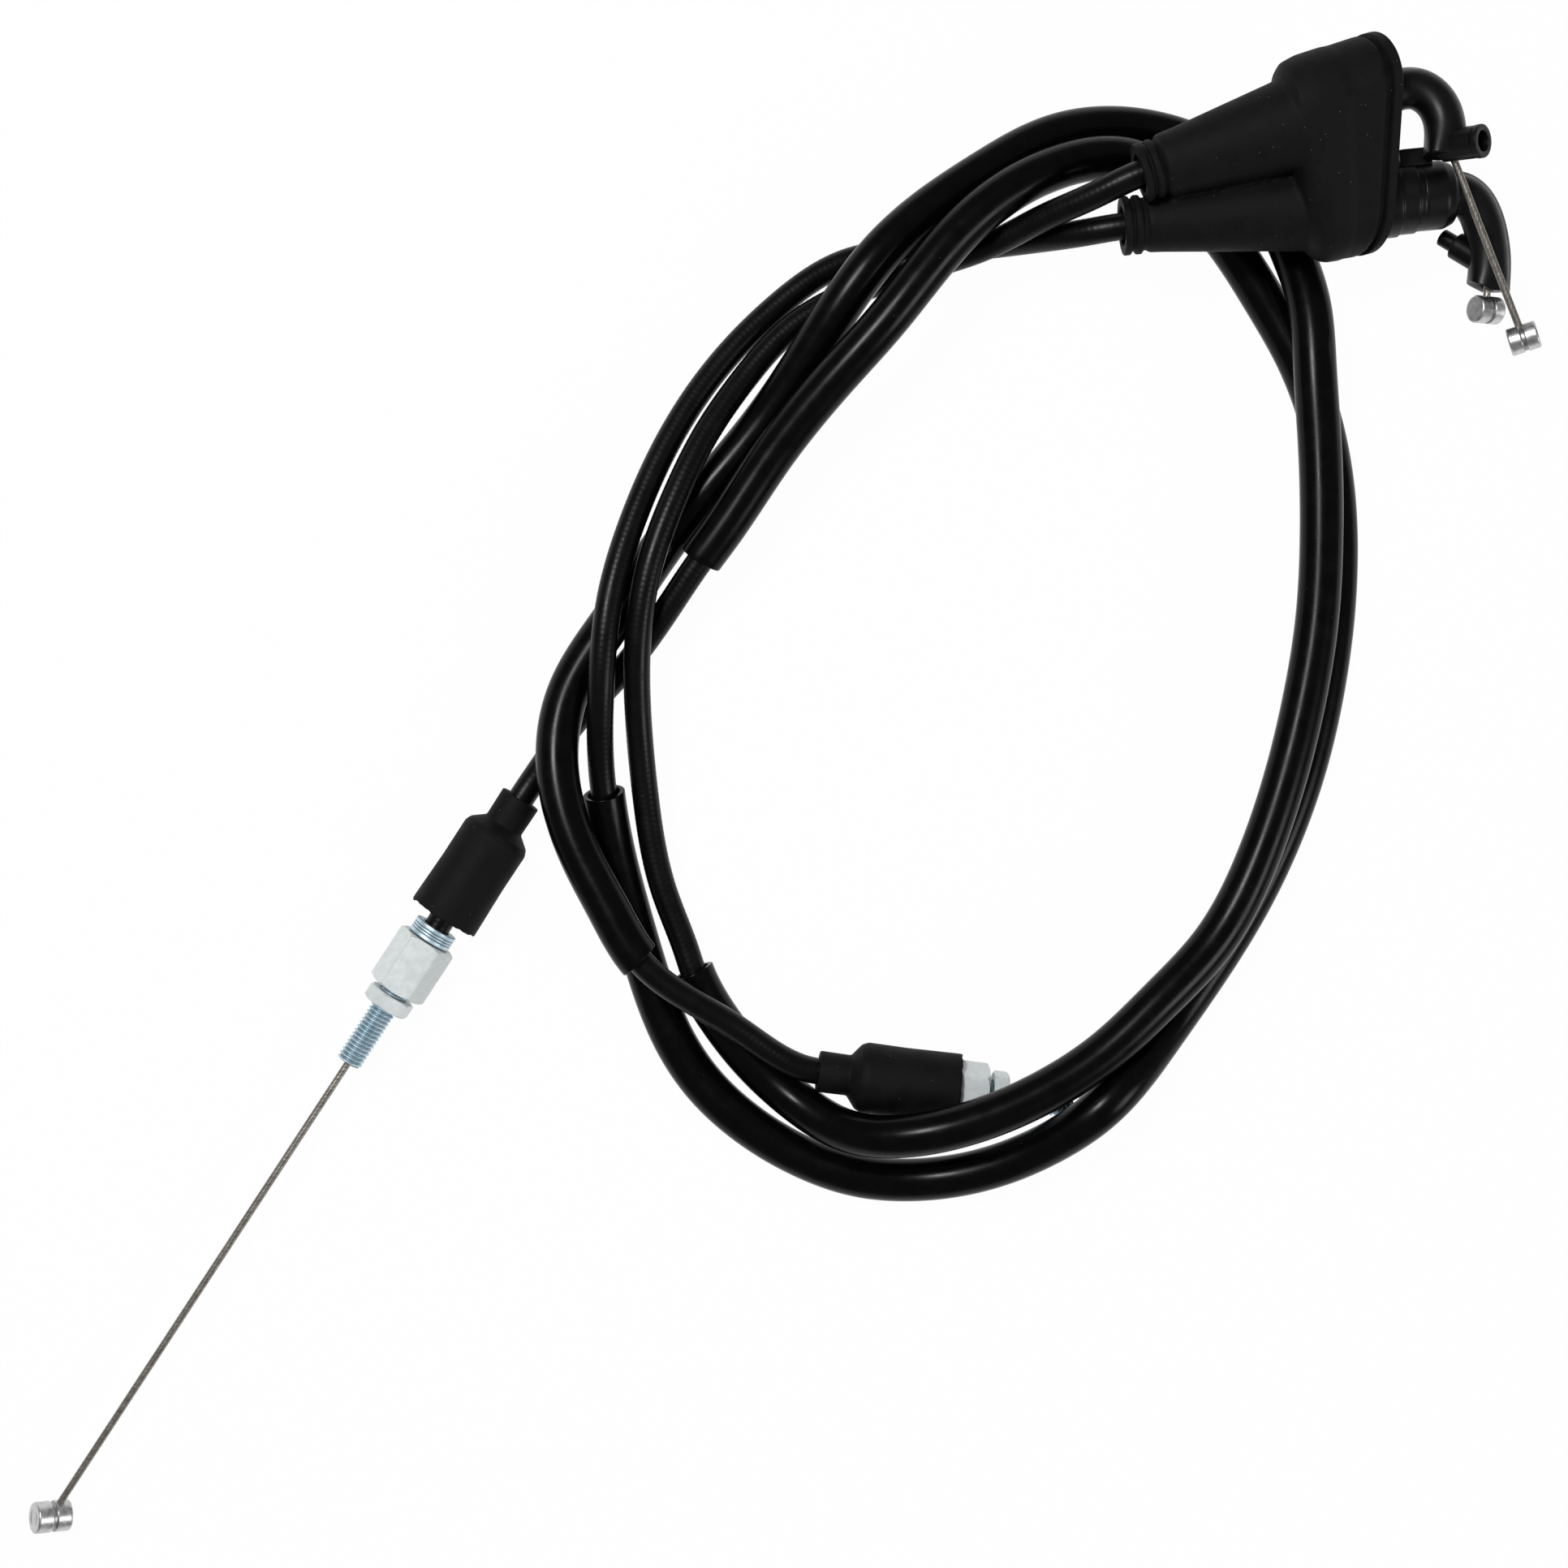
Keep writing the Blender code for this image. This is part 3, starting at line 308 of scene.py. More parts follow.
UPPER_NIPPLE_AT = 76.0
LOWER_NECK = np.array([-59.1, -3.3, 9.2])
LOWER_CARB_WAY = np.array([-0.549, -0.836, -0.018])
LOWER_WIRE_FROM = 39.0
LOWER_NIPPLE_AT = 194.1

# Nipples: radius and length, places and the ways that their barrels point
THROTTLE_NIPPLE = (3.0, 6.4)
CARB_NIPPLE = (3.5, 8.0)
UPPER_NIPPLE = np.array([160.3, 96.6, 30.0])
UPPER_NIPPLE_WAY = np.array([0.91, 0.28, 0.31])
LOWER_NIPPLE = np.array([154.3, 104.2, 22.0])
LOWER_NIPPLE_WAY = np.array([0.9, 0.0, -0.43])
LOWER_CARB_NIPPLE_WAY = np.array([0.81, -0.06, -0.59])

# Route of each cable from its collar to its bell, as in the CAD: (x, y, height)
UPPER_ROUTE = [
    (67, 127.5, 30), (57, 124, 24.5), (44.5, 119, 17), (33.5, 116, 13), (21.5, 112.5, 10.5),
    (11.5, 108.5, 10), (2.5, 103, 10.5), (-9, 90.5, 12), (-17, 78.5, 15), (-24, 64, 18),
    (-30, 47, 19), (-32.5, 30, 17), (-32.5, 14, 12.5), (-31, -3.5, 9.5), (-27, -24, 8.5),
    (-22, -37.5, 8), (-20.5, -42, 8), (-15, -52.5, 6.5), (-6, -63.8, 5.5), (3.5, -72, 7.5),
    (13.5, -77.2, 13), (24, -78, 18.5), (34, -76.5, 20.8), (45, -73.3, 21), (58, -67.5, 20.5),
    (70.5, -59.5, 19.5), (83, -48, 18.5), (95, -35.5, 16.5), (104.5, -18.5, 15.5), (111, 0, 15.5),
    (115.5, 18, 15.5), (118.5, 37, 15.5), (119.5, 57, 15.5), (119, 77, 15.5), (118, 93, 15.5),
    (117, 107, 14), (114, 119, 10.5), (110, 129, 7.5), (101.5, 139.5, 5.5), (89, 146, 5),
    (74, 148, 7), (60, 145, 11), (45, 136.5, 15), (30.5, 126, 18.5), (19.5, 115, 20.5),
    (9, 100.5, 17.5), (-1, 86, 12), (-13, 71, 9), (-25.5, 56, 8.5), (-38, 37.5, 10),
    (-48, 21, 12), (-50.5, 4.5, 14.5), (-45.5, -15, 16.5), (-39, -27.5, 17.5), (-32, -39, 18),
    (-21.5, -47.5, 17), (-11, -54, 15),
]
UPPER_SLEEVE = ((-20.5, -42, 8), (-32, -39, 18))
LOWER_ROUTE = [
    (66, 121, 23), (56, 121, 15.5), (46, 121, 9), (35.5, 120.5, 6.5), (24.5, 120, 6),
    (13.5, 117.5, 7), (-1, 108, 8), (-14.5, 94, 10), (-25.5, 77, 13.5), (-33.5, 58.5, 17),
    (-38.5, 40.5, 19.5), (-40.5, 21, 18), (-41, 6, 12), (-40.5, -2, 9), (-38, -17, 6),
    (-35, -28.5, 5), (-31.5, -40.5, 5), (-25, -57.5, 5), (-18, -68, 5), (-9.5, -76, 5),
    (3.5, -84, 5), (16.5, -88.6, 5), (30.5, -89.5, 5), (44.5, -87, 7.5), (58.5, -80.8, 12),
    (71, -71.5, 16.5), (84.5, -57, 9.5), (97.5, -39.5, 5.5), (108, -21.5, 5), (114.5, -6.5, 5),
    (119.5, 9.5, 5), (123.5, 31, 5), (125, 53, 5), (124, 69, 5), (121, 83.5, 5),
    (116, 96.5, 5), (109, 109, 5), (101.5, 120.5, 5.5), (93.5, 130, 7), (84.5, 136.5, 12),
    (73.5, 139, 16), (61.5, 136.5, 19.5), (48.5, 129.5, 23.5), (35, 117, 25.5), (22.5, 101.5, 25),
    (11.5, 89.5, 22.5), (-3, 72, 18), (-14, 56, 15.5), (-18.5, 50, 14.5), (-29, 35, 10.5),
    (-38.5, 23.5, 6), (-47.5, 14, 4), (-53.6, 5.2, 7),
]
LOWER_SLEEVE = ((-40.5, -2, 9), (-18.5, 50, 14.5))

# Centre lines of the elbows past the start of the bend, and of the wire that leaves the upper one
UPPER_ELBOW_ROUTE = [
    (135.6, 149.4, 34.7), (138.9, 147.6, 35), (141.1, 144.2, 35.3), (141.9, 140, 35.5), (141.9, 134.8, 35.5),
]
UPPER_WIRE_ROUTE = [
    (135.6, 149.4, 34.7), (138.9, 147.6, 35), (141.3, 144.2, 35.3), (142.3, 140, 35.4), (143.8, 134.5, 35.1),
]
UPPER_STUB = np.array([141.7, 137.0, 35.4])
UPPER_STUB_WAY = np.array([0.72, -0.05, 0.69])
LOWER_ELBOW_ROUTE = [
    (149.7, 128, 24.7), (152.2, 124.6, 24.3), (153.8, 119.6, 23.8), (154.5, 114, 23.2), (154.4, 108.2, 22.5),
]
LOWER_PEG = np.array([153.5, 114.5, 23.2])
LOWER_PEG_WAY = np.array([-0.70, 0.57, -0.43])


# Paths


def unit(v):
    return v / np.linalg.norm(v, axis=-1, keepdims=True)


def spline(points, start_way, end_way, steps=24):
    """The clamped cubic through the points that leaves and arrives along the given ways.

    Its second derivatives solve the usual three-banded system, and each stretch is then the blend of its
    ends' points and second derivatives."""
    p = np.array(points, float)
    h = np.linalg.norm(np.diff(p, axis=0), axis=1)
    slope = np.diff(p, axis=0) / h[:, None]
    whole = np.concatenate([[0.0], h, [0.0]])
    rows = np.diag(2 * (whole[:-1] + whole[1:])) + np.diag(h, 1) + np.diag(h, -1)
    ways = np.vstack([unit(np.array(start_way)), slope, unit(np.array(end_way))])
    bend = np.linalg.solve(rows, 6 * np.diff(ways, axis=0))
    h = h[:, None, None]
    x = (np.arange(steps) / steps)[None, :, None] * h
    y = h - x
    low, high = bend[:-1, None], bend[1:, None]
    made = (low * y**3 + high * x**3) / (6 * h)
    made = made + (p[:-1, None] / h - low * h / 6) * y + (p[1:, None] / h - high * h / 6) * x
    return np.vstack([made.reshape(-1, 3), p[-1:]])


def measured(points):
    """A path: (distance of each point along it, the points)."""
    points = np.array(points, float)
    steps = np.linalg.norm(np.diff(points, axis=0), axis=1)
    return np.concatenate([[0.0], np.cumsum(steps)]), points


def straight(origin, way, reach=300.0):
    """A straight path whose distances are 0 at origin and may run either side of it."""
    way = unit(np.array(way, float))
    return np.array([-reach, 0.0, reach]), np.array(origin) + way * np.array([[-reach], [0.0], [reach]])


def at(path, s):
    """The points of a path at distances s, and its directions there."""
    run, points = path
    ways = unit(np.gradient(points, run, axis=0))
    place = np.stack([np.interp(s, run, points[:, k]) for k in range(3)], axis=-1)
    way = np.stack([np.interp(s, run, ways[:, k]) for k in range(3)], axis=-1)
    return place, unit(way)


def along(point, way, distance):
    """The point that lies a distance from another along a way."""
    return np.array(point, float) + unit(np.array(way, float)) * distance


# Surfaces


def swept(path, profile, sides, shape=1.0, slide=0.0):
    """The grid of a profile carried along a path.

    Row i stands at profile[i][0] along the path, moved by slide; its ring has the radius profile[i][1]
    times shape. Angle 0 is straight up across the path, and angles grow to its right."""
    profile = np.array(profile, float)
    s = profile[:, :1] + slide * np.ones((1, sides))
    r = profile[:, 1:] * shape * np.ones((1, sides))
    angle = np.arange(sides) * 2 * np.pi / sides
    place, way = at(path, s)
    top = unit(UP - (way @ UP)[..., None] * way)
    side = np.cross(way, top)
    return place + r[..., None] * (np.cos(angle)[None, :, None] * top + np.sin(angle)[None, :, None] * side)


def added(name, data):
    """A new object of the scene that holds the data."""
    obj = bpy.data.objects.new(name, data)
    bpy.context.scene.collection.objects.link(obj)
    return obj


def skin(name, grid, ring=False, groove=None, sharp=None):
    """A mesh object from a grid of rows of points that each close on themselves.

    A first or last row that has shrunk to a point becomes a pole with a fan of triangles. With ring, the
    last row joins the first. The UV map is (row, column) in the grid, from 0 to 1, and groove is a value
    per grid point where the metal materials paint shade."""
    rows, sides = grid.shape[:2]
    low_pole = not ring and np.ptp(grid[0], axis=0).max() < 1e-9
    high_pole = not ring and np.ptp(grid[-1], axis=0).max() < 1e-9
    index = np.arange(rows * sides).reshape(rows, sides)
    body = index[int(low_pole) : rows - int(high_pole)]
    if ring:
        body = np.vstack([body, body[:1]])
    right = np.roll(body, -1, axis=1)
    quads = np.stack([body[:-1], right[:-1], right[1:], body[1:]], axis=-1).reshape(-1, 4)
    fans = []
    if low_pole:
        fans.append(np.stack([np.full(sides, index[0, 0]), right[0], body[0]], axis=-1))
    if high_pole:
        fans.append(np.stack([np.full(sides, index[-1, 0]), body[-1], right[-1]], axis=-1))
    fans = np.concatenate(fans) if fans else np.zeros((0, 3), int)
    used, corners = np.unique(np.concatenate([quads.ravel(), fans.ravel()]), return_inverse=True)
    points = (grid.reshape(-1, 3)[used] + COIL_SHIFT) * MM
    data = bpy.data.meshes.new(name)
    data.vertices.add(len(used))
    data.vertices.foreach_set("co", points.ravel())
    data.loops.add(len(corners))
    data.loops.foreach_set("vertex_index", corners.ravel().astype(np.int32))
    counts = np.concatenate([np.full(len(quads), 4), np.full(len(fans), 3)])
    data.polygons.add(len(counts))
    data.polygons.foreach_set("loop_start", (np.cumsum(counts) - counts).astype(np.int32))
    uv = np.stack([used // sides / rows, used % sides / sides], axis=-1)[corners.ravel()]
    data.uv_layers.new(name="UVMap").data.foreach_set("uv", uv.ravel().astype(np.float32))
    if groove is not None:
        values = np.broadcast_to(groove, (rows, sides)).reshape(-1)[used]
        data.attributes.new("groove", "FLOAT", "POINT").data.foreach_set("value", values.astype(np.float32))
    data.update(calc_edges=True)
    data.validate()
    data.polygons.foreach_set("use_smooth", np.ones(len(data.polygons), bool))
    if sharp is not None:
        data.set_sharp_from_angle(angle=math.radians(sharp))
    return added(name, data)


def joined(name, *objects):
    """One object that holds the meshes of several."""
    shape = bmesh.new()
    for obj in objects:
        shape.from_mesh(obj.data)
    data = bpy.data.meshes.new(name)
    shape.to_mesh(data)
    shape.free()
    for obj in objects:
        bpy.data.objects.remove(obj, do_unlink=True)
    return added(name, data)


def eased(corners, radius, steps=4, loop=False):
    """A profile whose corners are rounded: each becomes the parabola between the points radius before it
    and after it, or half a side before it and after it where a side is short. With loop, the last corner
    leads back to the first; otherwise both ends stay as they are."""
    p = np.array(corners, float)
    if loop:
        p = np.vstack([p[-1:], p, p[:1]])
    back, ahead = p[:-2] - p[1:-1], p[2:] - p[1:-1]
    reach_back = np.linalg.norm(back, axis=1, keepdims=True)
    reach_ahead = np.linalg.norm(ahead, axis=1, keepdims=True)
    first = p[1:-1] + back / reach_back * np.minimum(radius, reach_back / 2)
    last = p[1:-1] + ahead / reach_ahead * np.minimum(radius, reach_ahead / 2)
    u = np.linspace(0, 1, steps + 1)[None, :, None]
    made = (1 - u) ** 2 * first[:, None] + 2 * u * (1 - u) * p[1:-1, None] + u**2 * last[:, None]
    made = made.reshape(-1, 2)
    return made if loop else np.vstack([p[:1], made, p[-1:]])


def refined(profile, step, loop=False):
    """A profile with points added so that none are further apart than step."""
    profile = np.array(profile, float)
    if loop:
        profile = np.vstack([profile, profile[:1]])
    run = np.concatenate([[0.0], np.cumsum(np.linalg.norm(np.diff(profile, axis=0), axis=1))])
    s = np.unique(np.concatenate([run, np.arange(0, run[-1], step)]).round(6))
    made = np.stack([np.interp(s, run, profile[:, k]) for k in range(2)], axis=-1)
    return made[:-1] if loop else made


def placed(points):
    """Points of the coil's frame in millimetres, as the frame's metres."""
    return (np.array(points, float) + COIL_SHIFT) * MM


# Materials

DUST = (0.085, 0.083, 0.08)
GRAIN_HEIGHT = 0.00005


def is_output(value):
    """Whether a value is another node's output."""
    return isinstance(value, bpy.types.NodeSocket)


def fill(tree, node, inputs):
    """Gives a node its inputs: each is a value, or another node's output to link to it."""
    for key, value in inputs.items():
        if is_output(value):
            tree.links.new(value, node.inputs[key])
        else:
            node.inputs[key].default_value = value


def new_node(tree, kind, inputs=None, **settings):
    """A node with its settings and inputs."""
    made = tree.nodes.new(kind)
    for key, value in settings.items():
        setattr(made, key, value)
    fill(tree, made, inputs or {})
    return made


def maths(tree, operation, first, second):
    """The result of one operation on two values."""
    return new_node(tree, "ShaderNodeMath", {0: first, 1: second}, operation=operation).outputs[0]


def new_group(name, inputs, outputs):
    """A shader node group with float inputs {name: default} and float outputs."""
    tree = bpy.data.node_groups.new(name, "ShaderNodeTree")
    for key, value in inputs.items():
        socket = tree.interface.new_socket(key, in_out="INPUT", socket_type="NodeSocketFloat")
        socket.default_value = value
    for key in outputs:
        tree.interface.new_socket(key, in_out="OUTPUT", socket_type="NodeSocketFloat")
    return tree, tree.nodes.new("NodeGroupInput").outputs, tree.nodes.new("NodeGroupOutput")


def speck_group():
    """Dust: small round specks, where the nearest of many scattered points is very close, and only round
    a share of those points."""
    tree, given, out = new_group("dust_specks", {"Scale": 900.0, "Size": 0.16, "Amount": 0.5}, ["Mask"])
    coords = new_node(tree, "ShaderNodeTexCoord").outputs["Object"]
    cells = new_node(tree, "ShaderNodeTexVoronoi", {"Vector": coords, "Scale": given["Scale"]}).outputs
    close = maths(tree, "LESS_THAN", cells["Distance"], given["Size"])
    chance = new_node(tree, "ShaderNodeSeparateColor", {0: cells["Color"]}).outputs[0]
    picked = maths(tree, "LESS_THAN", chance, given["Amount"])
    fill(tree, out, {"Mask": maths(tree, "MULTIPLY", close, picked)})
    return tree


def mottle_group():
    """Uneven finish: layered noise stretched to the range 0 to 1."""
    tree, given, out = new_group("mottle", {"Scale": 200.0, "Detail": 4.0}, ["Value"])
    coords = new_node(tree, "ShaderNodeTexCoord").outputs["Object"]
    noise = new_node(
        tree, "ShaderNodeTexNoise",
        {"Vector": coords, "Scale": given["Scale"], "Detail": given["Detail"], "Roughness": 0.6},
    )
    spread = {"Value": noise.outputs["Fac"], "From Min": 0.3, "From Max": 0.7}
    fill(tree, out, {"Value": new_node(tree, "ShaderNodeMapRange", spread).outputs["Result"]})
    return tree


def edge_shade_group():
    """Where painted shade darkens the edges: how far the surface bulges at a point, from the mesh's own pointiness."""
    tree, given, out = new_group("painted_edge_shade", {"From": 0.52, "To": 0.6}, ["Mask"])
    bulge = new_node(tree, "ShaderNodeNewGeometry").outputs["Pointiness"]
    spread = {"Value": bulge, "From Min": given["From"], "From Max": given["To"]}
    fill(tree, out, {"Mask": new_node(tree, "ShaderNodeMapRange", spread).outputs["Result"]})
    return tree


SPECKS = speck_group()
MOTTLE = mottle_group()
EDGE_SHADE = edge_shade_group()


def from_group(tree, group, **inputs):
    """The one output of a group, for these inputs."""
    return new_node(tree, "ShaderNodeGroup", inputs, node_tree=group).outputs[0]


def between(tree, factor, low, high):
    """A value that goes from low to high with a factor."""
    span = {"Value": factor, "To Min": low, "To Max": high}
    return new_node(tree, "ShaderNodeMapRange", span).outputs["Result"]


def tinted(tree, factor, low, high):
    """A colour that goes from low to high with a factor; low may be another node's output."""
    ends = {0: factor, 6: low if is_output(low) else (*low, 1), 7: (*high, 1)}
    return new_node(tree, "ShaderNodeMix", ends, data_type="RGBA").outputs[2]


def bumped(tree, height, strength):
    """The surface's normal, tilted by a fine relief."""
    bump = {"Height": height, "Strength": strength, "Distance": GRAIN_HEIGHT}
    return new_node(tree, "ShaderNodeBump", bump).outputs["Normal"]


def new_look(name):
    """A material, its nodes and its shader."""
    look = bpy.data.materials.new(name)
    look.use_nodes = True
    return look, look.node_tree, look.node_tree.nodes["Principled BSDF"]


def grey(value):
    """A colour without hue."""
    return value, value, value


def black_look(name, deep, pale, rough, dust, dust_size, grain, gloss):
    """A black rubber or plastic: two near blacks in a mottle, dust specks, and a fine moulded grain."""
    look, tree, shader = new_look(name)
    mottle = from_group(tree, MOTTLE, Scale=260.0, Detail=5.0)
    specks = from_group(tree, SPECKS, Scale=1100.0, Size=dust_size, Amount=dust)
    fine = from_group(tree, MOTTLE, Scale=2600.0, Detail=2.0)
    fill(tree, shader, {
        "Base Color": tinted(tree, specks, tinted(tree, mottle, deep, pale), DUST),
        "Roughness": between(tree, mottle, *rough),
        "Normal": bumped(tree, fine, grain),
        "Specular IOR Level": gloss,
    })
    return look


def metal_look(name, dark, bright, rough, scale, groove_shade_colour, grain=0.2, edge_shade_colour=None, metal=1.0):
    """A plated or drawn metal: frost and stain in a mottle, painted shade as darker lines along its edges where an
    edge colour is given, and painted shade down in its grooves.
    Frosted plating scatters, so its metal share is below one."""
    look, tree, shader = new_look(name)
    mottle = from_group(tree, MOTTLE, Scale=scale, Detail=8.0)
    colour = tinted(tree, mottle, dark, bright)
    if edge_shade_colour is not None:
        # painted shade: convex edges take the darker edge colour
        colour = tinted(tree, from_group(tree, EDGE_SHADE, From=0.53, To=0.62), colour, edge_shade_colour)
    deep = new_node(tree, "ShaderNodeAttribute", attribute_name="groove").outputs["Fac"]
    fine = from_group(tree, MOTTLE, Scale=3 * scale, Detail=6.0)
    fill(tree, shader, {
        # painted shade: the colour darkens towards the groove colour by the groove value
        "Base Color": tinted(tree, deep, colour, groove_shade_colour),
        "Metallic": metal,
        "Roughness": between(tree, mottle, *rough),
        "Normal": bumped(tree, fine, grain),
    })
    return look


RUBBER = black_look(
    "boot_rubber", grey(0.003), grey(0.006), (0.56, 0.70),
    dust=0.05, dust_size=0.13, grain=0.5, gloss=0.12,
)
COVER = black_look(
    "conduit_cover", grey(0.002), grey(0.003), (0.28, 0.38),
    dust=0.010, dust_size=0.10, grain=0.10, gloss=0.16,
)
HOSE = black_look(
    "gloss_hose", grey(0.001), grey(0.002), (0.20, 0.30),
    dust=0.006, dust_size=0.10, grain=0.05, gloss=0.12,
)
PLASTIC = black_look(
    "guide_plastic", grey(0.002), grey(0.004), (0.32, 0.44),
    dust=0.012, dust_size=0.12, grain=0.15, gloss=0.22,
)
# The last colour given to each metal is painted shade down in its grooves.
WIRE = metal_look(
    "stranded_wire", (0.36, 0.33, 0.29), (0.52, 0.49, 0.44), (0.30, 0.42), 900.0, (0.05, 0.045, 0.04)
)
ZINC = metal_look(
    "zinc_plate", (0.68, 0.735, 0.74), (0.82, 0.865, 0.865), (0.28, 0.40), 520.0, (0.2, 0.24, 0.26),
    # edge colour: painted shade along the edges of the hexagon and nut
    edge_shade_colour=(0.30, 0.34, 0.35), metal=0.12,
)
BLUE_ZINC = metal_look(
    "blue_zinc", (0.46, 0.64, 0.74), (0.74, 0.86, 0.92), (0.36, 0.48), 420.0, (0.09, 0.17, 0.23), grain=0.1,
    metal=0.7,
)
CAST = metal_look("cast_nipple", grey(0.46), grey(0.74), (0.30, 0.46), 700.0, grey(0.16))


def piece(obj, look, slot, body, *nodes):
    """Gives a finished piece its look, its slot, its body and the CAD nodes that it stands for."""
    obj.data.materials.clear()
    obj.data.materials.append(look)
    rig.slot(obj, slot)
    if body is not None:
        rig.ride(obj, body)
    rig.replaces(obj, *nodes)
    return obj


# Cables


def cable_path(collar, shank_way, route, neck, carb_way, tail):
    """A conduit's centre line from inside its elbow to the end of its carburettor stack."""
    curve = spline([collar, *route, neck], -shank_way, carb_way)
    start = along(collar, shank_way, CONDUIT_INTO_SHANK)
    return measured(np.vstack([start[None], curve, along(neck, carb_way, tail)[None]]))


def distance_to(path, point):
    """How far along a path its nearest point to another lies."""
    run, points = path
    return run[np.argmin(np.linalg.norm(points - np.array(point, float), axis=1))]


def conduit(side, path, sleeve_from, sleeve_to):
    """A conduit with the winding showing through its cover: its radius swells once for each turn of the
    winding, on rows close enough to show it where the conduit is bare."""
    end = path[0][-1]
    fine = WINDING_PITCH / WINDING_ROWS
    low, high = sleeve_from + BARE_PAST_SLEEVE, sleeve_to - BARE_PAST_SLEEVE
    bare = np.concatenate([np.arange(0, low, fine), np.arange(high, end - 1, fine)])
    s = np.unique(np.concatenate([bare, np.arange(low, high, COVERED_STEP)]).round(4))
    swell = WINDING_HEIGHT * np.sin(2 * np.pi * s / WINDING_PITCH)
    rows = np.stack([s, SHEATH_R + swell - WINDING_HEIGHT], axis=-1)
    ends = [(s[0], 0), (s[0], SHEATH_R - 0.2)], [(s[-1] + 0.1, SHEATH_R - 0.2), (s[-1] + 0.1, 0)]
    obj = skin(side + "_conduit", swept(path, np.vstack([ends[0], rows, ends[1]]), SHEATH_SIDES))
    return piece(obj, COVER, "conduit_cover", "cables", side + "_sheath")


def hose(side, path, low, high):
    """A slip-over hose: a wall of even thickness with eased cut ends, whose outside wanders a few
    hundredths of a millimetre along its length."""
    bore = SLEEVE_R - SLEEVE_WALL
    ends = eased([(low, bore), (low, SLEEVE_R), (high, SLEEVE_R), (high, bore)], 0.25, loop=True)
    rows = refined(ends, SLEEVE_STEP, loop=True)
    sides = np.arange(SLEEVE_SIDES) * 2 * np.pi / SLEEVE_SIDES
    wander = 0.004 * np.sin(rows[:, :1] / 9.0 + 2 * sides) + 0.003 * np.sin(rows[:, :1] / 5.3 - sides)
    slant = 0.5 * np.cos(sides - 0.7)
    obj = skin(side + "_hose", swept(path, rows, SLEEVE_SIDES, 1 + wander, slant), ring=True)
    return piece(obj, HOSE, "hose", "cables", side + "_sleeve")


upper_shank_way = unit(UPPER_BEND - UPPER_COLLAR)
lower_shank_way = unit(LOWER_BEND - LOWER_COLLAR)
upper_zero = along(UPPER_NECK, UPPER_CARB_WAY, -UPPER_BELL_PUSH)
upper_path = cable_path(
    UPPER_COLLAR, upper_shank_way, UPPER_ROUTE, UPPER_NECK, UPPER_CARB_WAY, SHEATH_END - UPPER_BELL_PUSH
)
lower_path = cable_path(LOWER_COLLAR, lower_shank_way, LOWER_ROUTE, LOWER_NECK, LOWER_CARB_WAY, SHEATH_END)
cables = {}
for side, path, ends in (("upper", upper_path, UPPER_SLEEVE), ("lower", lower_path, LOWER_SLEEVE)):
    marks = [distance_to(path, end) for end in ends]
    cables[side] = (conduit(side, path, *marks), hose(side, path, *marks), marks)


# Wires and nipples


def wire(name, path, low, high, node, body):
    """Twisted strands: the ring's radius has a round lobe for each strand, and the lobes turn once round
    the wire in each lay. The groove value is 1 down between two strands, where the material paints shade."""
    s = np.arange(low, high, STRAND_STEP)
    angle = np.arange(STRAND_SIDES) * 2 * np.pi / STRAND_SIDES
    lobe = np.abs(np.cos(STRANDS / 2 * (angle[None] - 2 * np.pi * s[:, None] / STRAND_LAY)))
    radius = 1 - STRAND_DEPTH / WIRE_R * (1 - lobe**0.7)
    shape = np.vstack([radius[:1], radius, radius[-1:]])
    deep = np.vstack([lobe[:1], lobe, lobe[-1:]])
    rows = np.vstack([[(low, 0)], np.stack([s, np.full(len(s), WIRE_R)], axis=-1), [(s[-1], 0)]])
    obj = skin(name, swept(path, rows, STRAND_SIDES, shape), groove=np.clip(1 - 1.8 * deep, 0, 1))
    return piece(obj, WIRE, "wire_steel", body, node)


def nipple(name, size, centre, own_way, body, ringed):
    """A barrel across a wire: a turned profile with eased edges and a groove round its middle, and on the
    larger ones a struck ring on each end face."""
    radius, length = size
    half = length / 2
    face = [(-half, 0), (-half, 0.42 * radius)]
    if ringed:
        face += [(-half + 0.12, 0.47 * radius), (-half + 0.12, 0.53 * radius), (-half, 0.58 * radius)]
    edge = [(-half, radius - 0.3), (-half + 0.3, radius), (-0.5, radius), (-0.4, radius - 0.28)]
    left = np.array(face + edge)
    profile = np.vstack([left, left[::-1] * [-1, 1]])
    rows = refined(eased(profile, 0.12, 3), 0.4)
    groove = (rows[:, 1:] < radius - 0.1) & (np.abs(rows[:, :1]) < 0.6)
    # groove * 0.6: painted shade in the groove round the middle
    obj = skin(name, swept(straight(centre, own_way), rows, 48), groove=groove * 0.6, sharp=40)
    return piece(obj, CAST, "nipple_metal", body, name)


lower_carb_way = unit(LOWER_CARB_WAY)
upper_carb_way = unit(UPPER_CARB_WAY)
lower_axis = straight(LOWER_NECK, lower_carb_way)
upper_axis = straight(upper_zero, upper_carb_way)
lower_wire = wire(
    "lower_bare_wire", lower_axis, LOWER_WIRE_FROM, LOWER_NIPPLE_AT + WIRE_PAST_NIPPLE,
    "lower_carb_wire", "lower_carb_end",
)
upper_wire = wire(
    "upper_bare_wire", upper_axis, UPPER_WIRE_FROM, UPPER_NIPPLE_AT + WIRE_PAST_NIPPLE,
    "upper_carb_wire", "upper_carb_end",
)
lower_carb_nipple = nipple(
    "lower_carb_nipple", CARB_NIPPLE, along(LOWER_NECK, lower_carb_way, LOWER_NIPPLE_AT),
    LOWER_CARB_NIPPLE_WAY, "lower_carb_end", True,
)
upper_carb_nipple = nipple(
    "upper_carb_nipple", CARB_NIPPLE, along(upper_zero, upper_carb_way, UPPER_NIPPLE_AT),
    np.cross(UP, upper_carb_way), "upper_carb_end", True,
)


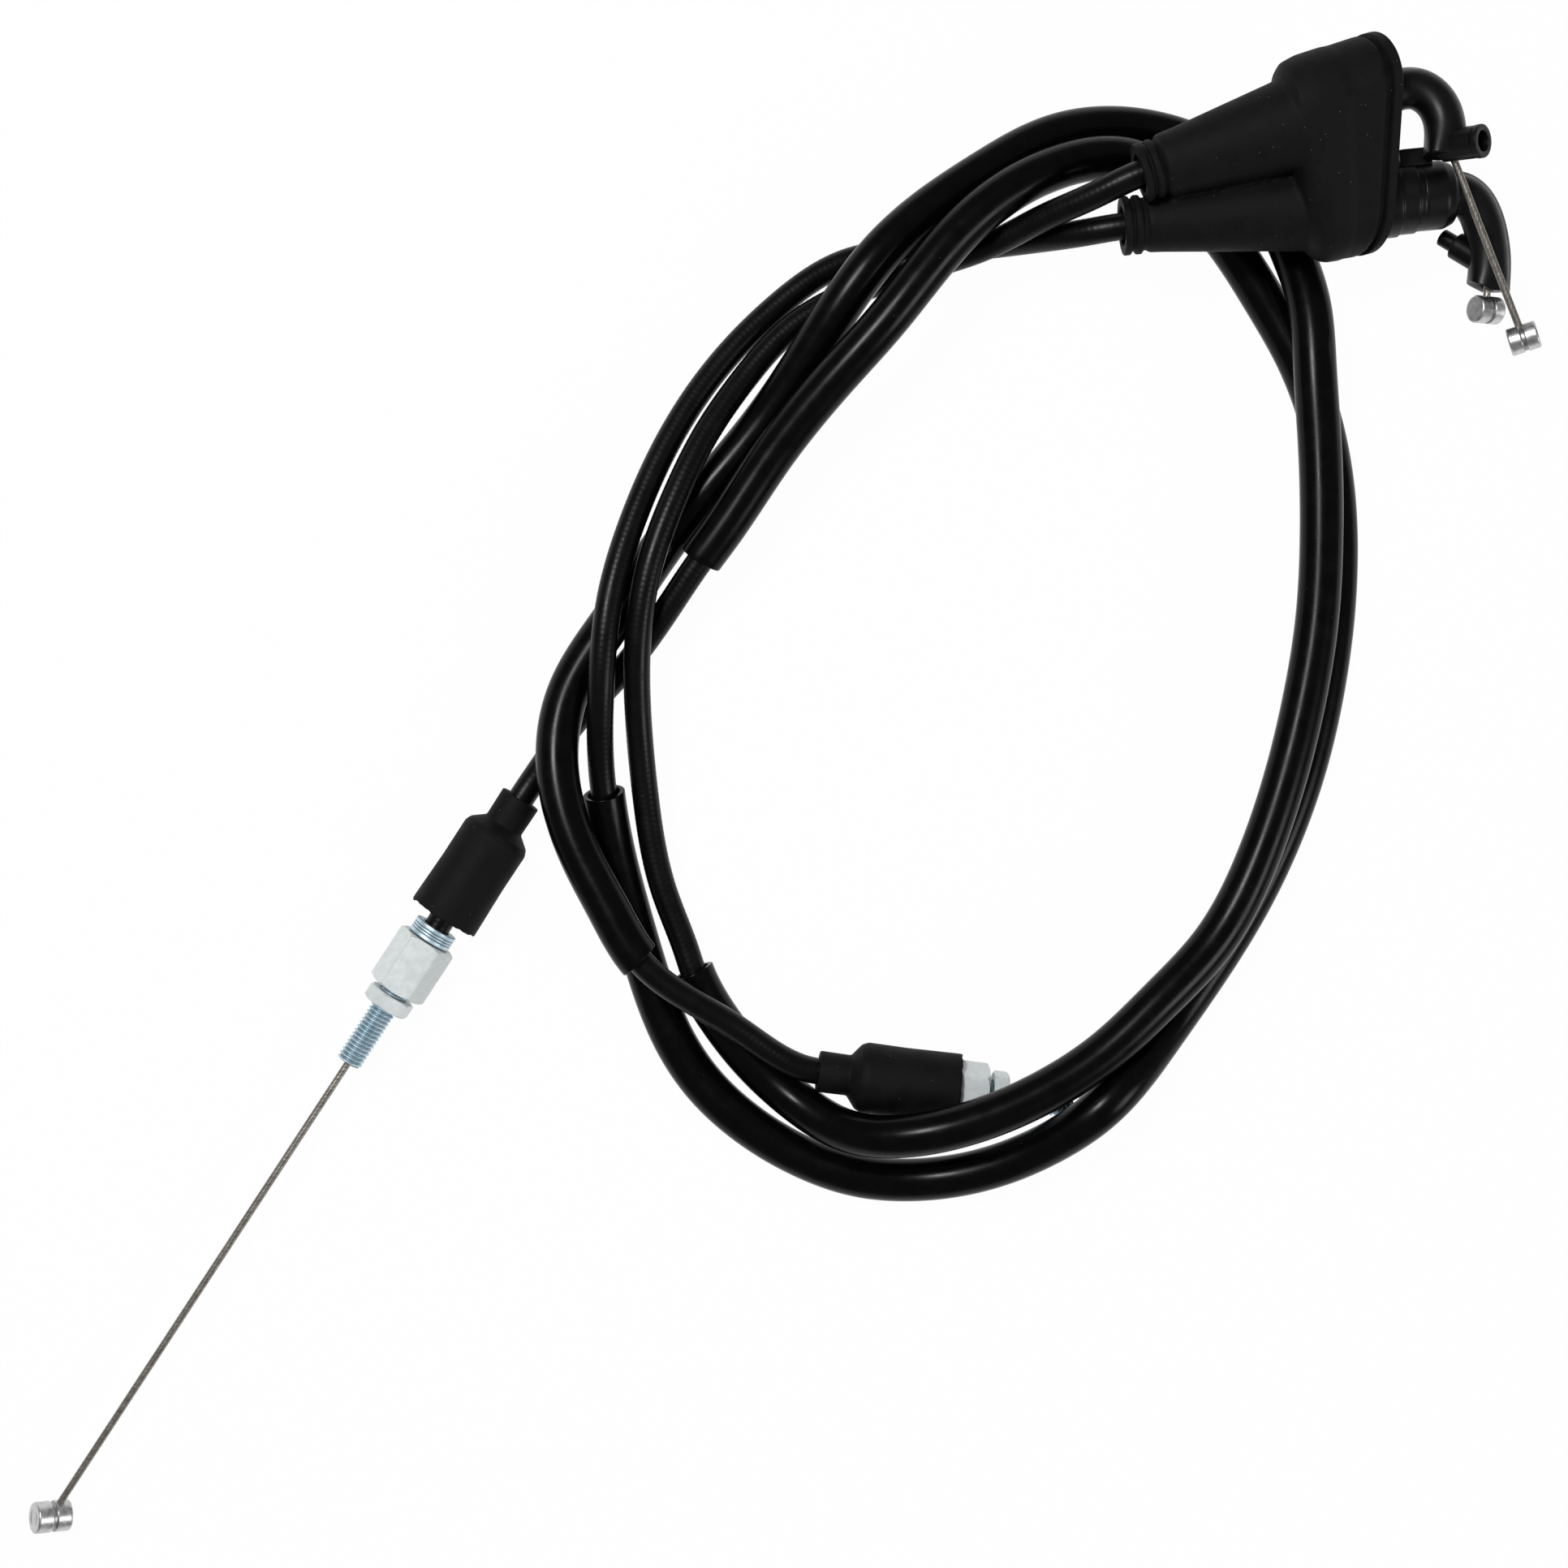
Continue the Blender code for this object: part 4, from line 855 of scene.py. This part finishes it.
def throttle_wire(side, bend, shank_way, route, nipple_at, stretch_from):
    """The wire through an elbow to its nipple, which slides in the elbow by stretching between them."""
    way = unit(nipple_at - np.array(route[-1], float))
    curve = spline([bend, *route], shank_way, way, 12)
    back = along(bend, shank_way, -PULL_WIRE_BACK)
    end = along(nipple_at, way, WIRE_PAST_NIPPLE)
    path = measured(np.vstack([back[None], curve, end[None]]))
    obj = wire(side + "_pull_wire", path, 0.0, path[0][-1], side + "_throttle_wire", None)
    bodies = side + "_elbow_body", side + "_throttle_end"
    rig.blend(obj, *bodies, start=placed(stretch_from), end=placed(nipple_at))
    return obj, path


upper_pull, upper_pull_path = throttle_wire(
    "upper", UPPER_BEND, upper_shank_way, UPPER_WIRE_ROUTE, UPPER_NIPPLE, UPPER_WIRE_ROUTE[-2]
)
lower_pull, lower_pull_path = throttle_wire(
    "lower", LOWER_BEND, lower_shank_way, LOWER_ELBOW_ROUTE, LOWER_NIPPLE, LOWER_ELBOW_ROUTE[-3]
)
upper_throttle_nipple = nipple(
    "upper_throttle_nipple", THROTTLE_NIPPLE, UPPER_NIPPLE, UPPER_NIPPLE_WAY,
    "upper_throttle_end", False,
)
lower_throttle_nipple = nipple(
    "lower_throttle_nipple", THROTTLE_NIPPLE, LOWER_NIPPLE, LOWER_NIPPLE_WAY,
    "lower_throttle_end", False,
)


# Carburettor ends


def hexagon_ring(flats, sides, turn, softness=48):
    """Radius of a hexagon with slightly rounded corners, round its axis: the p-norm of its six flats."""
    angle = np.arange(sides) * 2 * np.pi / sides - turn
    flat = np.cos(angle[:, None] - np.arange(6) * np.pi / 3)
    return flats / 2 * np.sum(np.clip(flat, 0, None) ** softness, axis=1) ** (-1 / softness)


def hexagon(name, size, axis, turn, body, node):
    """A hexagon whose corners a cone cuts off at both ends: the smaller of the two radii at each point.
    The cone's rows are close together, and a nut is too thin for any others."""
    low, length, flats = size
    high = low + length
    sides = 132
    corner = flats / 2 * HEX_CORNER
    bore = STUD[2] + HEX_BORE_GAP
    depth = np.linspace(0, 1, 14) ** 1.5 * 1.8
    outer = np.concatenate([low + depth, np.linspace(low + 2, high - 2, 5), high - depth[::-1]])
    if length < 4:
        outer = low + np.linspace(0, length, 34)
    cone = flats / 2 + CONE_SLOPE * np.minimum(outer - low, high - outer)
    rows = np.concatenate([[(low + 0.5, bore), (low, bore + 0.4)], np.stack([outer, outer * 0 + 1], -1)])
    rows = np.concatenate([rows, [(high, bore + 0.4), (high - 0.5, bore)]])
    wide = np.minimum(hexagon_ring(flats, sides, turn)[None], np.minimum(cone, corner)[:, None])
    shape = np.vstack([np.ones((2, sides)), wide, np.ones((2, sides))])
    obj = skin(name, swept(axis, rows, sides, shape), ring=True, groove=0.0, sharp=28)
    return piece(obj, ZINC, "zinc_steel", body, node)


def stud(name, axis, node):
    """A threaded stud: the radius falls from crest to root and back once in each pitch, along a helix, and
    the crests fade out on the end's chamfer. The groove value is 1 at the root, where the material paints shade."""
    low, high, crest = STUD
    sides = 48
    s = np.arange(low, high, THREAD_PITCH / 14)
    angle = np.arange(sides) * 2 * np.pi / sides
    phase = np.abs(((s[:, None] / THREAD_PITCH - angle / (2 * np.pi)) % 1.0) * 2 - 1)
    depth = np.clip((phase - 0.15) / 0.6, 0, 1)
    radius = crest - THREAD_DEPTH * depth
    radius = np.minimum(radius, crest - THREAD_DEPTH * 0.8 + (high - s[:, None]) * 1.0)
    rows = np.stack([s, s * 0 + 1], axis=-1)
    floor_at = high - STUD_BORE_DEPTH
    hole = [(high, STUD_BORE_R + 0.2), (high - 0.3, STUD_BORE_R), (floor_at, STUD_BORE_R), (floor_at, 0)]
    rows = np.vstack([[(low, 0)], rows, hole])
    shape = np.vstack([np.ones((1, sides)), radius, np.ones((4, sides))])
    deep = np.vstack([np.zeros((1, sides)), depth**2 * 0.75, np.zeros((4, sides))])
    obj = skin(name, swept(axis, rows, sides, shape), groove=deep)
    return piece(obj, BLUE_ZINC, "zinc_steel", "cables", node)


def crimp_ring(name, axis, node):
    """The ridged cap that holds the conduit's end: a ring with three fine grooves round it."""
    low, length, radius = RING
    grooves = [low + length * f for f in (0.3, 0.5, 0.7)]
    outer = [(low, radius)]
    root = radius - 0.14
    for g in grooves:
        outer += [(g - 0.16, radius), (g - 0.05, root), (g + 0.05, root), (g + 0.16, radius)]
    bore = SHEATH_R + 0.3
    corners = [(low, bore), *outer, (low + length, radius), (low + length, bore)]
    rows = refined(eased(corners, 0.12, 3, loop=True), 0.5, loop=True)
    # deep: painted shade in the three grooves
    deep = ((rows[:, 1:] < radius - 0.05) & (rows[:, 1:] > radius - 0.4)) * 0.8
    obj = skin(name, swept(axis, rows, 64), ring=True, groove=deep, sharp=40)
    return piece(obj, BLUE_ZINC, "zinc_steel", "cables", node)


def bell(name, axis, low, body, node):
    """A rubber bell: a necked wall whose mouth was torn from its mould, so that its edge wanders and has a
    few nibs of flash."""
    sides = 96
    shoulder = low + BELL_NECK_LENGTH + BELL_SHOULDER
    neck = low + BELL_NECK_LENGTH
    mouth = low + BELL_LENGTH
    corners = [
        (low, BELL_NECK_BORE_R), (low, BELL_NECK_R), (neck, BELL_NECK_R - 0.1),
        (shoulder - 1.4, BELL_R - 0.6), (shoulder, BELL_R), (shoulder + 9, BELL_R - 0.05),
        (mouth, BELL_MOUTH_R), (mouth, BELL_BORE_R), (shoulder, BELL_BORE_R), (neck, BELL_NECK_BORE_R),
    ]
    rows = refined(eased(corners, 0.45, 5, loop=True), 0.7, loop=True)
    angle = np.arange(sides) * 2 * np.pi / sides
    edge = 0.08 * np.sin(5 * angle + 1) + 0.06 * np.sin(11 * angle) + 0.05 * np.sin(23 * angle + 2)
    nibs = sum(h * np.exp(-(((angle - a + np.pi) % (2 * np.pi) - np.pi) / w) ** 2) for a, h, w in MOUTH_NIBS)
    near_mouth = np.clip((rows[:, :1] - mouth + 2.5) / 2.5, 0, 1) ** 2
    obj = skin(name, swept(axis, rows, sides, slide=near_mouth * (edge + nibs)), ring=True)
    return piece(obj, RUBBER, "boot_rubber", body, node)


fittings = {}
for side, axis, push in (("upper", upper_axis, UPPER_BELL_PUSH), ("lower", lower_axis, 0.0)):
    fittings[side] = [
        bell(side + "_bell", axis, push, side + "_bell", side + "_carb_boot"),
        crimp_ring(side + "_crimp_ring", axis, side + "_end_ferrule"),
        hexagon(side + "_hexagon", HEX, axis, HEX_TURN, side + "_adjuster", side + "_adjuster_hex"),
        hexagon(side + "_nut", NUT, axis, NUT_TURN, side + "_nut", side + "_lock_nut"),
        stud(side + "_stud", axis, side + "_threaded_stud"),
    ]


# Elbows and barrel


def guide_tube(name, path, socket, end_square, end_slant, rib):
    """A bent guide: a socket, then a tube that ends square-shouldered and is bored for its wire.

    The ring goes from a circle to a rounded square over the last stretch, and rib lifts a low fin along
    the inside of the bend."""
    end = path[0][-1]
    socket_r, socket_end = socket
    sides = 64
    floor_at = end - ELBOW_BORE_DEPTH
    outer = [(0, 0), (0, socket_r), (socket_end, socket_r), (socket_end + 0.8, ELBOW_R), (end, ELBOW_R)]
    inner = [(end, ELBOW_BORE_R), (floor_at, ELBOW_BORE_R), (floor_at, 0)]
    rows = refined(eased(outer + inner, 0.35, 4), 0.6)
    angle = np.arange(sides) * 2 * np.pi / sides
    near_end = np.clip((rows[:, :1] - end + SQUARE_STRETCH) / SQUARE_STRETCH, 0, 1)
    power = 2 + end_square * near_end**2
    square = (np.abs(np.cos(angle)) ** power + np.abs(np.sin(angle)) ** power) ** (-1 / power)
    is_outer = (rows[:, 1:] > ELBOW_BORE_R + 0.3) & (rows[:, 1:] < ELBOW_R + 0.2)
    rib_at, rib_height = rib
    fin = rib_height * np.exp(-(((angle - rib_at + np.pi) % (2 * np.pi) - np.pi) / 0.16) ** 2)
    shape = np.where(is_outer, square * (1 + fin / ELBOW_R), 1.0)
    slant = end_slant * near_end**3 * np.cos(angle - rib_at)
    return skin(name, swept(path, rows, sides, shape, slant), sharp=38)


def turned(name, origin, way, corners):
    """A turned piece: a profile with eased corners, round a straight axis."""
    rows = refined(eased(corners, 0.3, 4), 0.6)
    return skin(name, swept(straight(origin, way), rows, 48), sharp=38)


def elbow_path(bend, shank_way, route):
    """An elbow's centre line, from the back of its shank through its bend."""
    exit_way = np.array(route[-1], float) - np.array(route[-2], float)
    curve = spline([bend, *route], shank_way, exit_way, 12)
    return measured(np.vstack([along(bend, shank_way, -SHANK_BACK)[None], curve]))


stub_floor = STUB_LENGTH - STUB_BORE_DEPTH
upper_tube = guide_tube(
    "upper_tube", elbow_path(UPPER_BEND, upper_shank_way, UPPER_ELBOW_ROUTE), UPPER_SOCKET,
    end_square=2.0, end_slant=0.0, rib=(math.radians(-90), 0.35),
)
upper_stub = turned(
    "upper_stub", UPPER_STUB, UPPER_STUB_WAY,
    [
        (0, 0), (0, STUB_R), (STUB_LENGTH - 1.5, STUB_R), (STUB_LENGTH - 1.3, STUB_R + 0.12),
        (STUB_LENGTH, STUB_R + 0.12), (STUB_LENGTH, STUB_BORE_R), (stub_floor, STUB_BORE_R), (stub_floor, 0),
    ],
)
piece(
    joined("upper_guide", upper_tube, upper_stub), PLASTIC, "guide_plastic", "upper_elbow_body", "upper_elbow"
)
lower_tube = guide_tube(
    "lower_tube", elbow_path(LOWER_BEND, lower_shank_way, LOWER_ELBOW_ROUTE), LOWER_SOCKET,
    end_square=1.0, end_slant=2.0, rib=(math.radians(-90), 0.7),
)
lower_peg = turned(
    "lower_peg", LOWER_PEG, LOWER_PEG_WAY,
    [
        (0, 0), (0, PEG_R), (PEG_LENGTH, PEG_R), (PEG_LENGTH, PEG_TIP_R),
        (PEG_LENGTH + PEG_TIP_LENGTH, PEG_TIP_R), (PEG_LENGTH + PEG_TIP_LENGTH, 0),
    ],
)
piece(
    joined("lower_guide", lower_tube, lower_peg), PLASTIC, "guide_plastic", "lower_elbow_body", "lower_elbow"
)

ring_low = BARREL_LENGTH - BARREL_RING_LENGTH
barrel_rows = [
    (0.2, BARREL_BORE_R), (0.2, BARREL_R - 2.2), (0.9, BARREL_R - 0.9), (3.0, BARREL_R),
    (BARREL_LINE_AT - 0.2, BARREL_R), (BARREL_LINE_AT, BARREL_R - 0.1), (BARREL_LINE_AT + 0.2, BARREL_R),
    (BARREL_STEP_AT - 0.1, BARREL_R), (BARREL_STEP_AT, BARREL_STEP_R),
    (ring_low, BARREL_STEP_R), (ring_low, BARREL_RING_R), (BARREL_LENGTH, BARREL_RING_R),
    (BARREL_LENGTH, BARREL_BORE_R),
]
barrel_rows = refined(eased(barrel_rows, 0.4, 4, loop=True), 0.8, loop=True)
barrel_grid = swept(straight(LOWER_BEND, -lower_shank_way), barrel_rows, 72)
barrel_body = skin("barrel_body", barrel_grid, ring=True, sharp=38)


def key_block(name, centre, long_way, wide_way, size, softness=9):
    """A block with soft edges: a ring of the p-norm square, shrunk towards both ends by the same p-norm."""
    sides, count = 64, 25
    t = np.linspace(-1, 1, count)
    shrink = (1 - np.abs(t) ** softness) ** (1 / softness)
    angle = np.arange(sides) * 2 * np.pi / sides
    square = (np.abs(np.cos(angle)) ** softness + np.abs(np.sin(angle)) ** softness) ** (-1 / softness)
    long_way = unit(long_way)
    high_way = unit(np.cross(long_way, wide_way))
    wide_way = np.cross(high_way, long_way)
    x, y, z = (half / 2 for half in size)
    across = (square * np.cos(angle))[None, :, None] * wide_way * y
    across = across + (square * np.sin(angle))[None, :, None] * high_way * z
    return skin(name, centre + t[:, None, None] * long_way * x + shrink[:, None, None] * across, sharp=50)


key_side = unit(np.cross(-lower_shank_way, UP))
key_top = unit(np.cross(key_side, -lower_shank_way))
key_at = along(LOWER_BEND, lower_shank_way, KEY_PAST_RING + KEY_LENGTH / 2 - ring_low)
key_at = key_at + KEY_RAISED * key_top + (BARREL_R + KEY_PROUD) * key_side
key_size = (KEY_LENGTH, KEY_WIDTH, KEY_HEIGHT)
barrel_key = key_block("barrel_key", key_at, lower_shank_way, key_side, key_size)
piece(
    joined("guide_barrel", barrel_body, barrel_key), PLASTIC, "guide_plastic", "cables", "lower_elbow_barrel"
)


# Throttle boot

head_way = np.array([math.cos(BOOT_YAW), math.sin(BOOT_YAW), 0.0])
head_side = np.cross(UP, head_way) * math.cos(BOOT_ROLL) + UP * math.sin(BOOT_ROLL)
head_top = np.cross(head_way, head_side)


def oval(rows, lean, sides=96):
    """The head's grid: each row (distance along the head, half the flats' length, radius) is two half
    circles whose centres stand that far either side of the middle. A row leans by its share of the rim's
    slant, which is furthest forward on top and at the head's upper end."""
    rows = np.array(rows, float)
    angle = (np.arange(sides) + 0.5) * 2 * np.pi / sides
    across = rows[:, 1:2] * np.sign(np.cos(angle)) * (rows[:, 2:] > 0) + rows[:, 2:] * np.cos(angle)
    upward = rows[:, 2:] * np.sin(angle)
    to_end, to_top = across / (HEAD_CAP_AT + HEAD_CAP_R), upward / HEAD_CAP_R
    slant = RIM_END_REACH * to_end + RIM_TOP_REACH * to_top - RIM_BACK
    forward = rows[:, :1] + np.reshape(lean, (-1, 1)) * slant
    made = MOUTH + forward[..., None] * head_way + across[..., None] * head_side
    return made + upward[..., None] * head_top


def leg_profile(collar, way, tail_r, head_r):
    """Outer and inner profile of a leg along its axis, from the collar's end into the head."""
    tail = along(collar, way, -COLLAR_LENGTH / 2)
    reach = (MOUTH - head_way * HEAD_LENGTH - tail) @ head_way / (way @ head_way)
    far = reach + LEG_INTO_HEAD
    outer = [
        (COLLAR_LENGTH - 0.5, 0), (COLLAR_LENGTH - 0.5, tail_r - 1.6), (COLLAR_LENGTH + 0.8, tail_r - 0.1),
        (COLLAR_LENGTH + 4, tail_r + 0.1), (reach, head_r), (far, head_r), (far, 0),
    ]
    inner = [
        (-2, 0), (-2, COLLAR_BORE_R), (COLLAR_LENGTH, COLLAR_BORE_R),
        (COLLAR_LENGTH + LEG_WALL, tail_r - LEG_WALL), (reach, head_r - LEG_WALL),
        (far + 4, head_r - LEG_WALL), (far + 4, 0),
    ]
    waist = COLLAR_R - 0.7
    beads = [
        (0, COLLAR_BORE_R), (0, COLLAR_R), (1.4, COLLAR_R), (1.8, waist), (2.2, waist), (2.6, COLLAR_R),
        (3.8, COLLAR_R), (4.2, waist), (COLLAR_LENGTH + 0.5, waist), (COLLAR_LENGTH + 0.5, COLLAR_BORE_R),
    ]
    return straight(tail, way), outer, inner, beads


def applied(obj):
    """The object with its modifiers worked into its mesh."""
    bpy.context.view_layer.update()
    data = bpy.data.meshes.new_from_object(obj.evaluated_get(bpy.context.evaluated_depsgraph_get()))
    obj.modifiers.clear()
    obj.data = data
    return obj


groove_r = HEAD_CAP_R - LIP_HEIGHT
lip_r = HEAD_CAP_R + 0.4 * LIP_HEIGHT
head_rows = [
    (-HEAD_LENGTH - 2.4, 0, 0), (-HEAD_LENGTH - 2.4, HEAD_CAP_AT - 2.2, HEAD_CAP_R - 4.6),
    (-HEAD_LENGTH - 1.6, HEAD_CAP_AT - 1.0, HEAD_CAP_R - 2.0),
    (-HEAD_LENGTH, HEAD_CAP_AT - 0.6, HEAD_CAP_R - 0.6),
    (-HEAD_LENGTH + 3, HEAD_CAP_AT - 0.4, HEAD_CAP_R), (-11.0, HEAD_CAP_AT - 0.2, HEAD_CAP_R + 0.1),
    (-9.6, HEAD_CAP_AT, HEAD_CAP_R - 0.25), (-2.2 * LIP_LENGTH, HEAD_CAP_AT, HEAD_CAP_R + 0.1),
    (-2 * LIP_LENGTH, HEAD_CAP_AT, groove_r - 0.3), (0, HEAD_CAP_AT, groove_r - 0.3), (0, 0, 0),
]
head_lean = [min(max((row[0] + HEAD_LENGTH) / (HEAD_LENGTH - 2 * LIP_LENGTH), 0), 1) for row in head_rows]
boot = skin("boot_head", oval(head_rows, head_lean))
legs = []
hollows = []
collars = []
for side, collar, way, radii in (
    ("upper", UPPER_COLLAR, upper_shank_way, UPPER_LEG), ("lower", LOWER_COLLAR, lower_shank_way, LOWER_LEG)
):
    axis, outer, inner, beads = leg_profile(collar, way, *radii)
    legs.append(skin(side + "_leg", swept(axis, refined(outer, 1.0), 72)))
    hollows.append(skin(side + "_hollow", swept(axis, refined(inner, 2.0), 48)))
    bead_rows = refined(eased(beads, 0.3, 4, loop=True), 0.5, loop=True)
    collars.append(skin(side + "_collar", swept(axis, bead_rows, 72), ring=True))
boot = joined("boot", boot, *legs)
melt = boot.modifiers.new("melt", "REMESH")
melt.mode = "VOXEL"
melt.voxel_size = BOOT_VOXEL * MM
melt.use_smooth_shade = True
soften = boot.modifiers.new("soften", "SMOOTH")
soften.factor = 0.5
soften.iterations = BOOT_SMOOTHINGS
applied(boot)
head_bore = HEAD_CAP_R - HEAD_WALL
past_rim = RIM_END_REACH + RIM_TOP_REACH + 2
hollows.append(
    skin(
        "head_hollow",
        oval([
            (-HEAD_LENGTH + HEAD_WALL, 0, 0), (-HEAD_LENGTH + HEAD_WALL, HEAD_CAP_AT - 0.6, head_bore - 0.6),
            (-HEAD_LENGTH + 3, HEAD_CAP_AT, head_bore), (past_rim, HEAD_CAP_AT, head_bore), (past_rim, 0, 0),
        ], 0),
    )
)
for hollow in hollows:
    cut = boot.modifiers.new(hollow.name, "BOOLEAN")
    cut.operation = "DIFFERENCE"
    cut.solver = "EXACT"
    cut.object = hollow
applied(boot)
for hollow in hollows:
    bpy.data.objects.remove(hollow, do_unlink=True)
lip_rows = [
    (-1.35 * LIP_LENGTH, HEAD_CAP_AT, groove_r - 0.6), (-1.35 * LIP_LENGTH, HEAD_CAP_AT, lip_r - 0.3),
    (-1.2 * LIP_LENGTH, HEAD_CAP_AT, lip_r), (-0.3, HEAD_CAP_AT, lip_r), (0, HEAD_CAP_AT, lip_r - 0.35),
    (0, HEAD_CAP_AT, head_bore + 0.1), (-1.35 * LIP_LENGTH, HEAD_CAP_AT, head_bore + 0.1),
]
lip = skin("boot_lip", oval(lip_rows, 1), ring=True, sharp=40)
piece(
    joined("throttle_boot_skin", boot, lip, *collars), RUBBER, "boot_rubber", "cables", "throttle_boot"
)


# Inner pieces that stay as the CAD has them

for node, look in (("core_wire", WIRE), ("conduit_ferrule", ZINC)):
    for side in ("upper", "lower"):
        obj = frame["nodes"][side + "_" + node]
        obj.data.materials.clear()
        obj.data.materials.append(look)


# Cords: what is free, how long it is and what it ends in


def declare(obj, path, low, high, diameter, far_end, stiffness, lay, pieces, exit_at=None):
    """Says that a piece is a free cord, which follows its path from low to high."""
    s = np.concatenate([np.arange(low, high, CORD_STEP), [high]])
    points = placed(at(path, s)[0])
    length = np.linalg.norm(np.diff(points, axis=0), axis=1).sum()
    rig.cord(
        obj, exit=points[0] if exit_at is None else exit_at, length=round(float(length), 3),
        diameter=diameter * MM, far_end=far_end, stiffness=stiffness, lay=lay, path=points,
        with_pieces=pieces,
    )


for side, path in (("upper", upper_path), ("lower", lower_path)):
    conduit_obj, hose_obj, marks = cables[side]
    declare(
        conduit_obj, path, 0.0, path[0][-1], 2 * SHEATH_R, "fitting", "stiff", "coiled", fittings[side],
        placed(at(path, CONDUIT_EXIT)[0]),
    )
    declare(hose_obj, path, *marks, 2 * SLEEVE_R, "bare", "stiff", "coiled", [])
for obj, path, low, high, end in (
    (lower_wire, lower_axis, LOWER_WIRE_FROM, LOWER_NIPPLE_AT, lower_carb_nipple),
    (upper_wire, upper_axis, UPPER_WIRE_FROM, UPPER_NIPPLE_AT, upper_carb_nipple),
    (upper_pull, upper_pull_path, 0.0, upper_pull_path[0][-1], upper_throttle_nipple),
    (lower_pull, lower_pull_path, 0.0, lower_pull_path[0][-1], lower_throttle_nipple),
):
    declare(obj, path, low, high, 2 * WIRE_R, "fitting", "stiff", "loose", [end])


# Stage, light and camera

FLOOR_HALF = 4.0
FLOOR_GLOW = 0.98
WORLD_LIGHT = 0.2


def floor_look():
    """A white floor: the camera and reflections see it nearly white, with a share of its own shading so
    that the shadow stays; other rays see plain pale paint."""
    look, tree, paint = new_look("floor_white")
    fill(tree, paint, {"Base Color": (*grey(0.8), 1), "Roughness": 0.9, "Specular IOR Level": 0.0})
    glow = new_node(tree, "ShaderNodeEmission", {"Color": (*grey(1), 1), "Strength": 1.0})
    rays = new_node(tree, "ShaderNodeLightPath").outputs
    seen = rays["Is Camera Ray"]
    for ray in ("Is Glossy Ray", "Is Transmission Ray"):
        seen = maths(tree, "MAXIMUM", seen, rays[ray])
    share = maths(tree, "MULTIPLY", seen, FLOOR_GLOW)
    mix = new_node(tree, "ShaderNodeMixShader", {0: share, 1: paint.outputs[0], 2: glow.outputs[0]})
    fill(tree, tree.nodes["Material Output"], {"Surface": mix.outputs[0]})
    return look


floor_data = bpy.data.meshes.new("floor")
floor_corners = [(x * FLOOR_HALF, y * FLOOR_HALF, 0) for x, y in ((-1, -1), (1, -1), (1, 1), (-1, 1))]
floor_data.from_pydata(floor_corners, [], [(0, 1, 2, 3)])
floor = added("floor", floor_data)
floor_data.materials.append(floor_look())
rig.stage(floor)

world = bpy.data.worlds.new("studio")
world.use_nodes = True
sky = world.node_tree.nodes["Background"].inputs
sky["Color"].default_value = (1, 1, 1, 1)
sky["Strength"].default_value = WORLD_LIGHT
bpy.context.scene.world = world


def softbox(name, place, target, size, power):
    """A rectangular light at a place, facing a target."""
    data = bpy.data.lights.new(name, "AREA")
    data.shape = "RECTANGLE"
    data.size, data.size_y = size
    data.energy = power
    lamp = added(name, data)
    way = unit(np.array(target, float) - np.array(place, float))
    left = unit(np.cross(UP if abs(way[2]) < 0.95 else np.array([0.0, 1.0, 0.0]), way))
    over = np.cross(left, way)
    lamp.matrix_world = Matrix([(left[k], over[k], -way[k], place[k]) for k in range(3)] + [(0, 0, 0, 1)])
    return lamp


softbox("overhead_softbox", (-0.32, 0.30, 0.95), (0, 0, 0), (0.22, 0.22), 7.0)
softbox("side_softbox", (1.1, -0.5, 0.8), (0, 0, 0), (0.5, 0.5), 6.0)

camera_data = bpy.data.cameras.new("camera")
camera = added("camera", camera_data)
camera_data.sensor_fit = "HORIZONTAL"
camera_data.sensor_width = SENSOR
camera_data.lens = SENSOR * CAMERA_HEIGHT / (PHOTO_SIDE / PIXELS_PER_MM)
camera_data.clip_start = 0.01
camera.location = (*(COIL_SHIFT[:2] * MM), CAMERA_HEIGHT * MM)
bpy.context.scene.camera = camera
bpy.context.scene.view_settings.view_transform = "Standard"

visual_box = [[float(v) for v in corner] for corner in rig.bounds()]
with open("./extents.json", "w") as out:
    json.dump({"cad": cad_box, "visual": visual_box}, out)
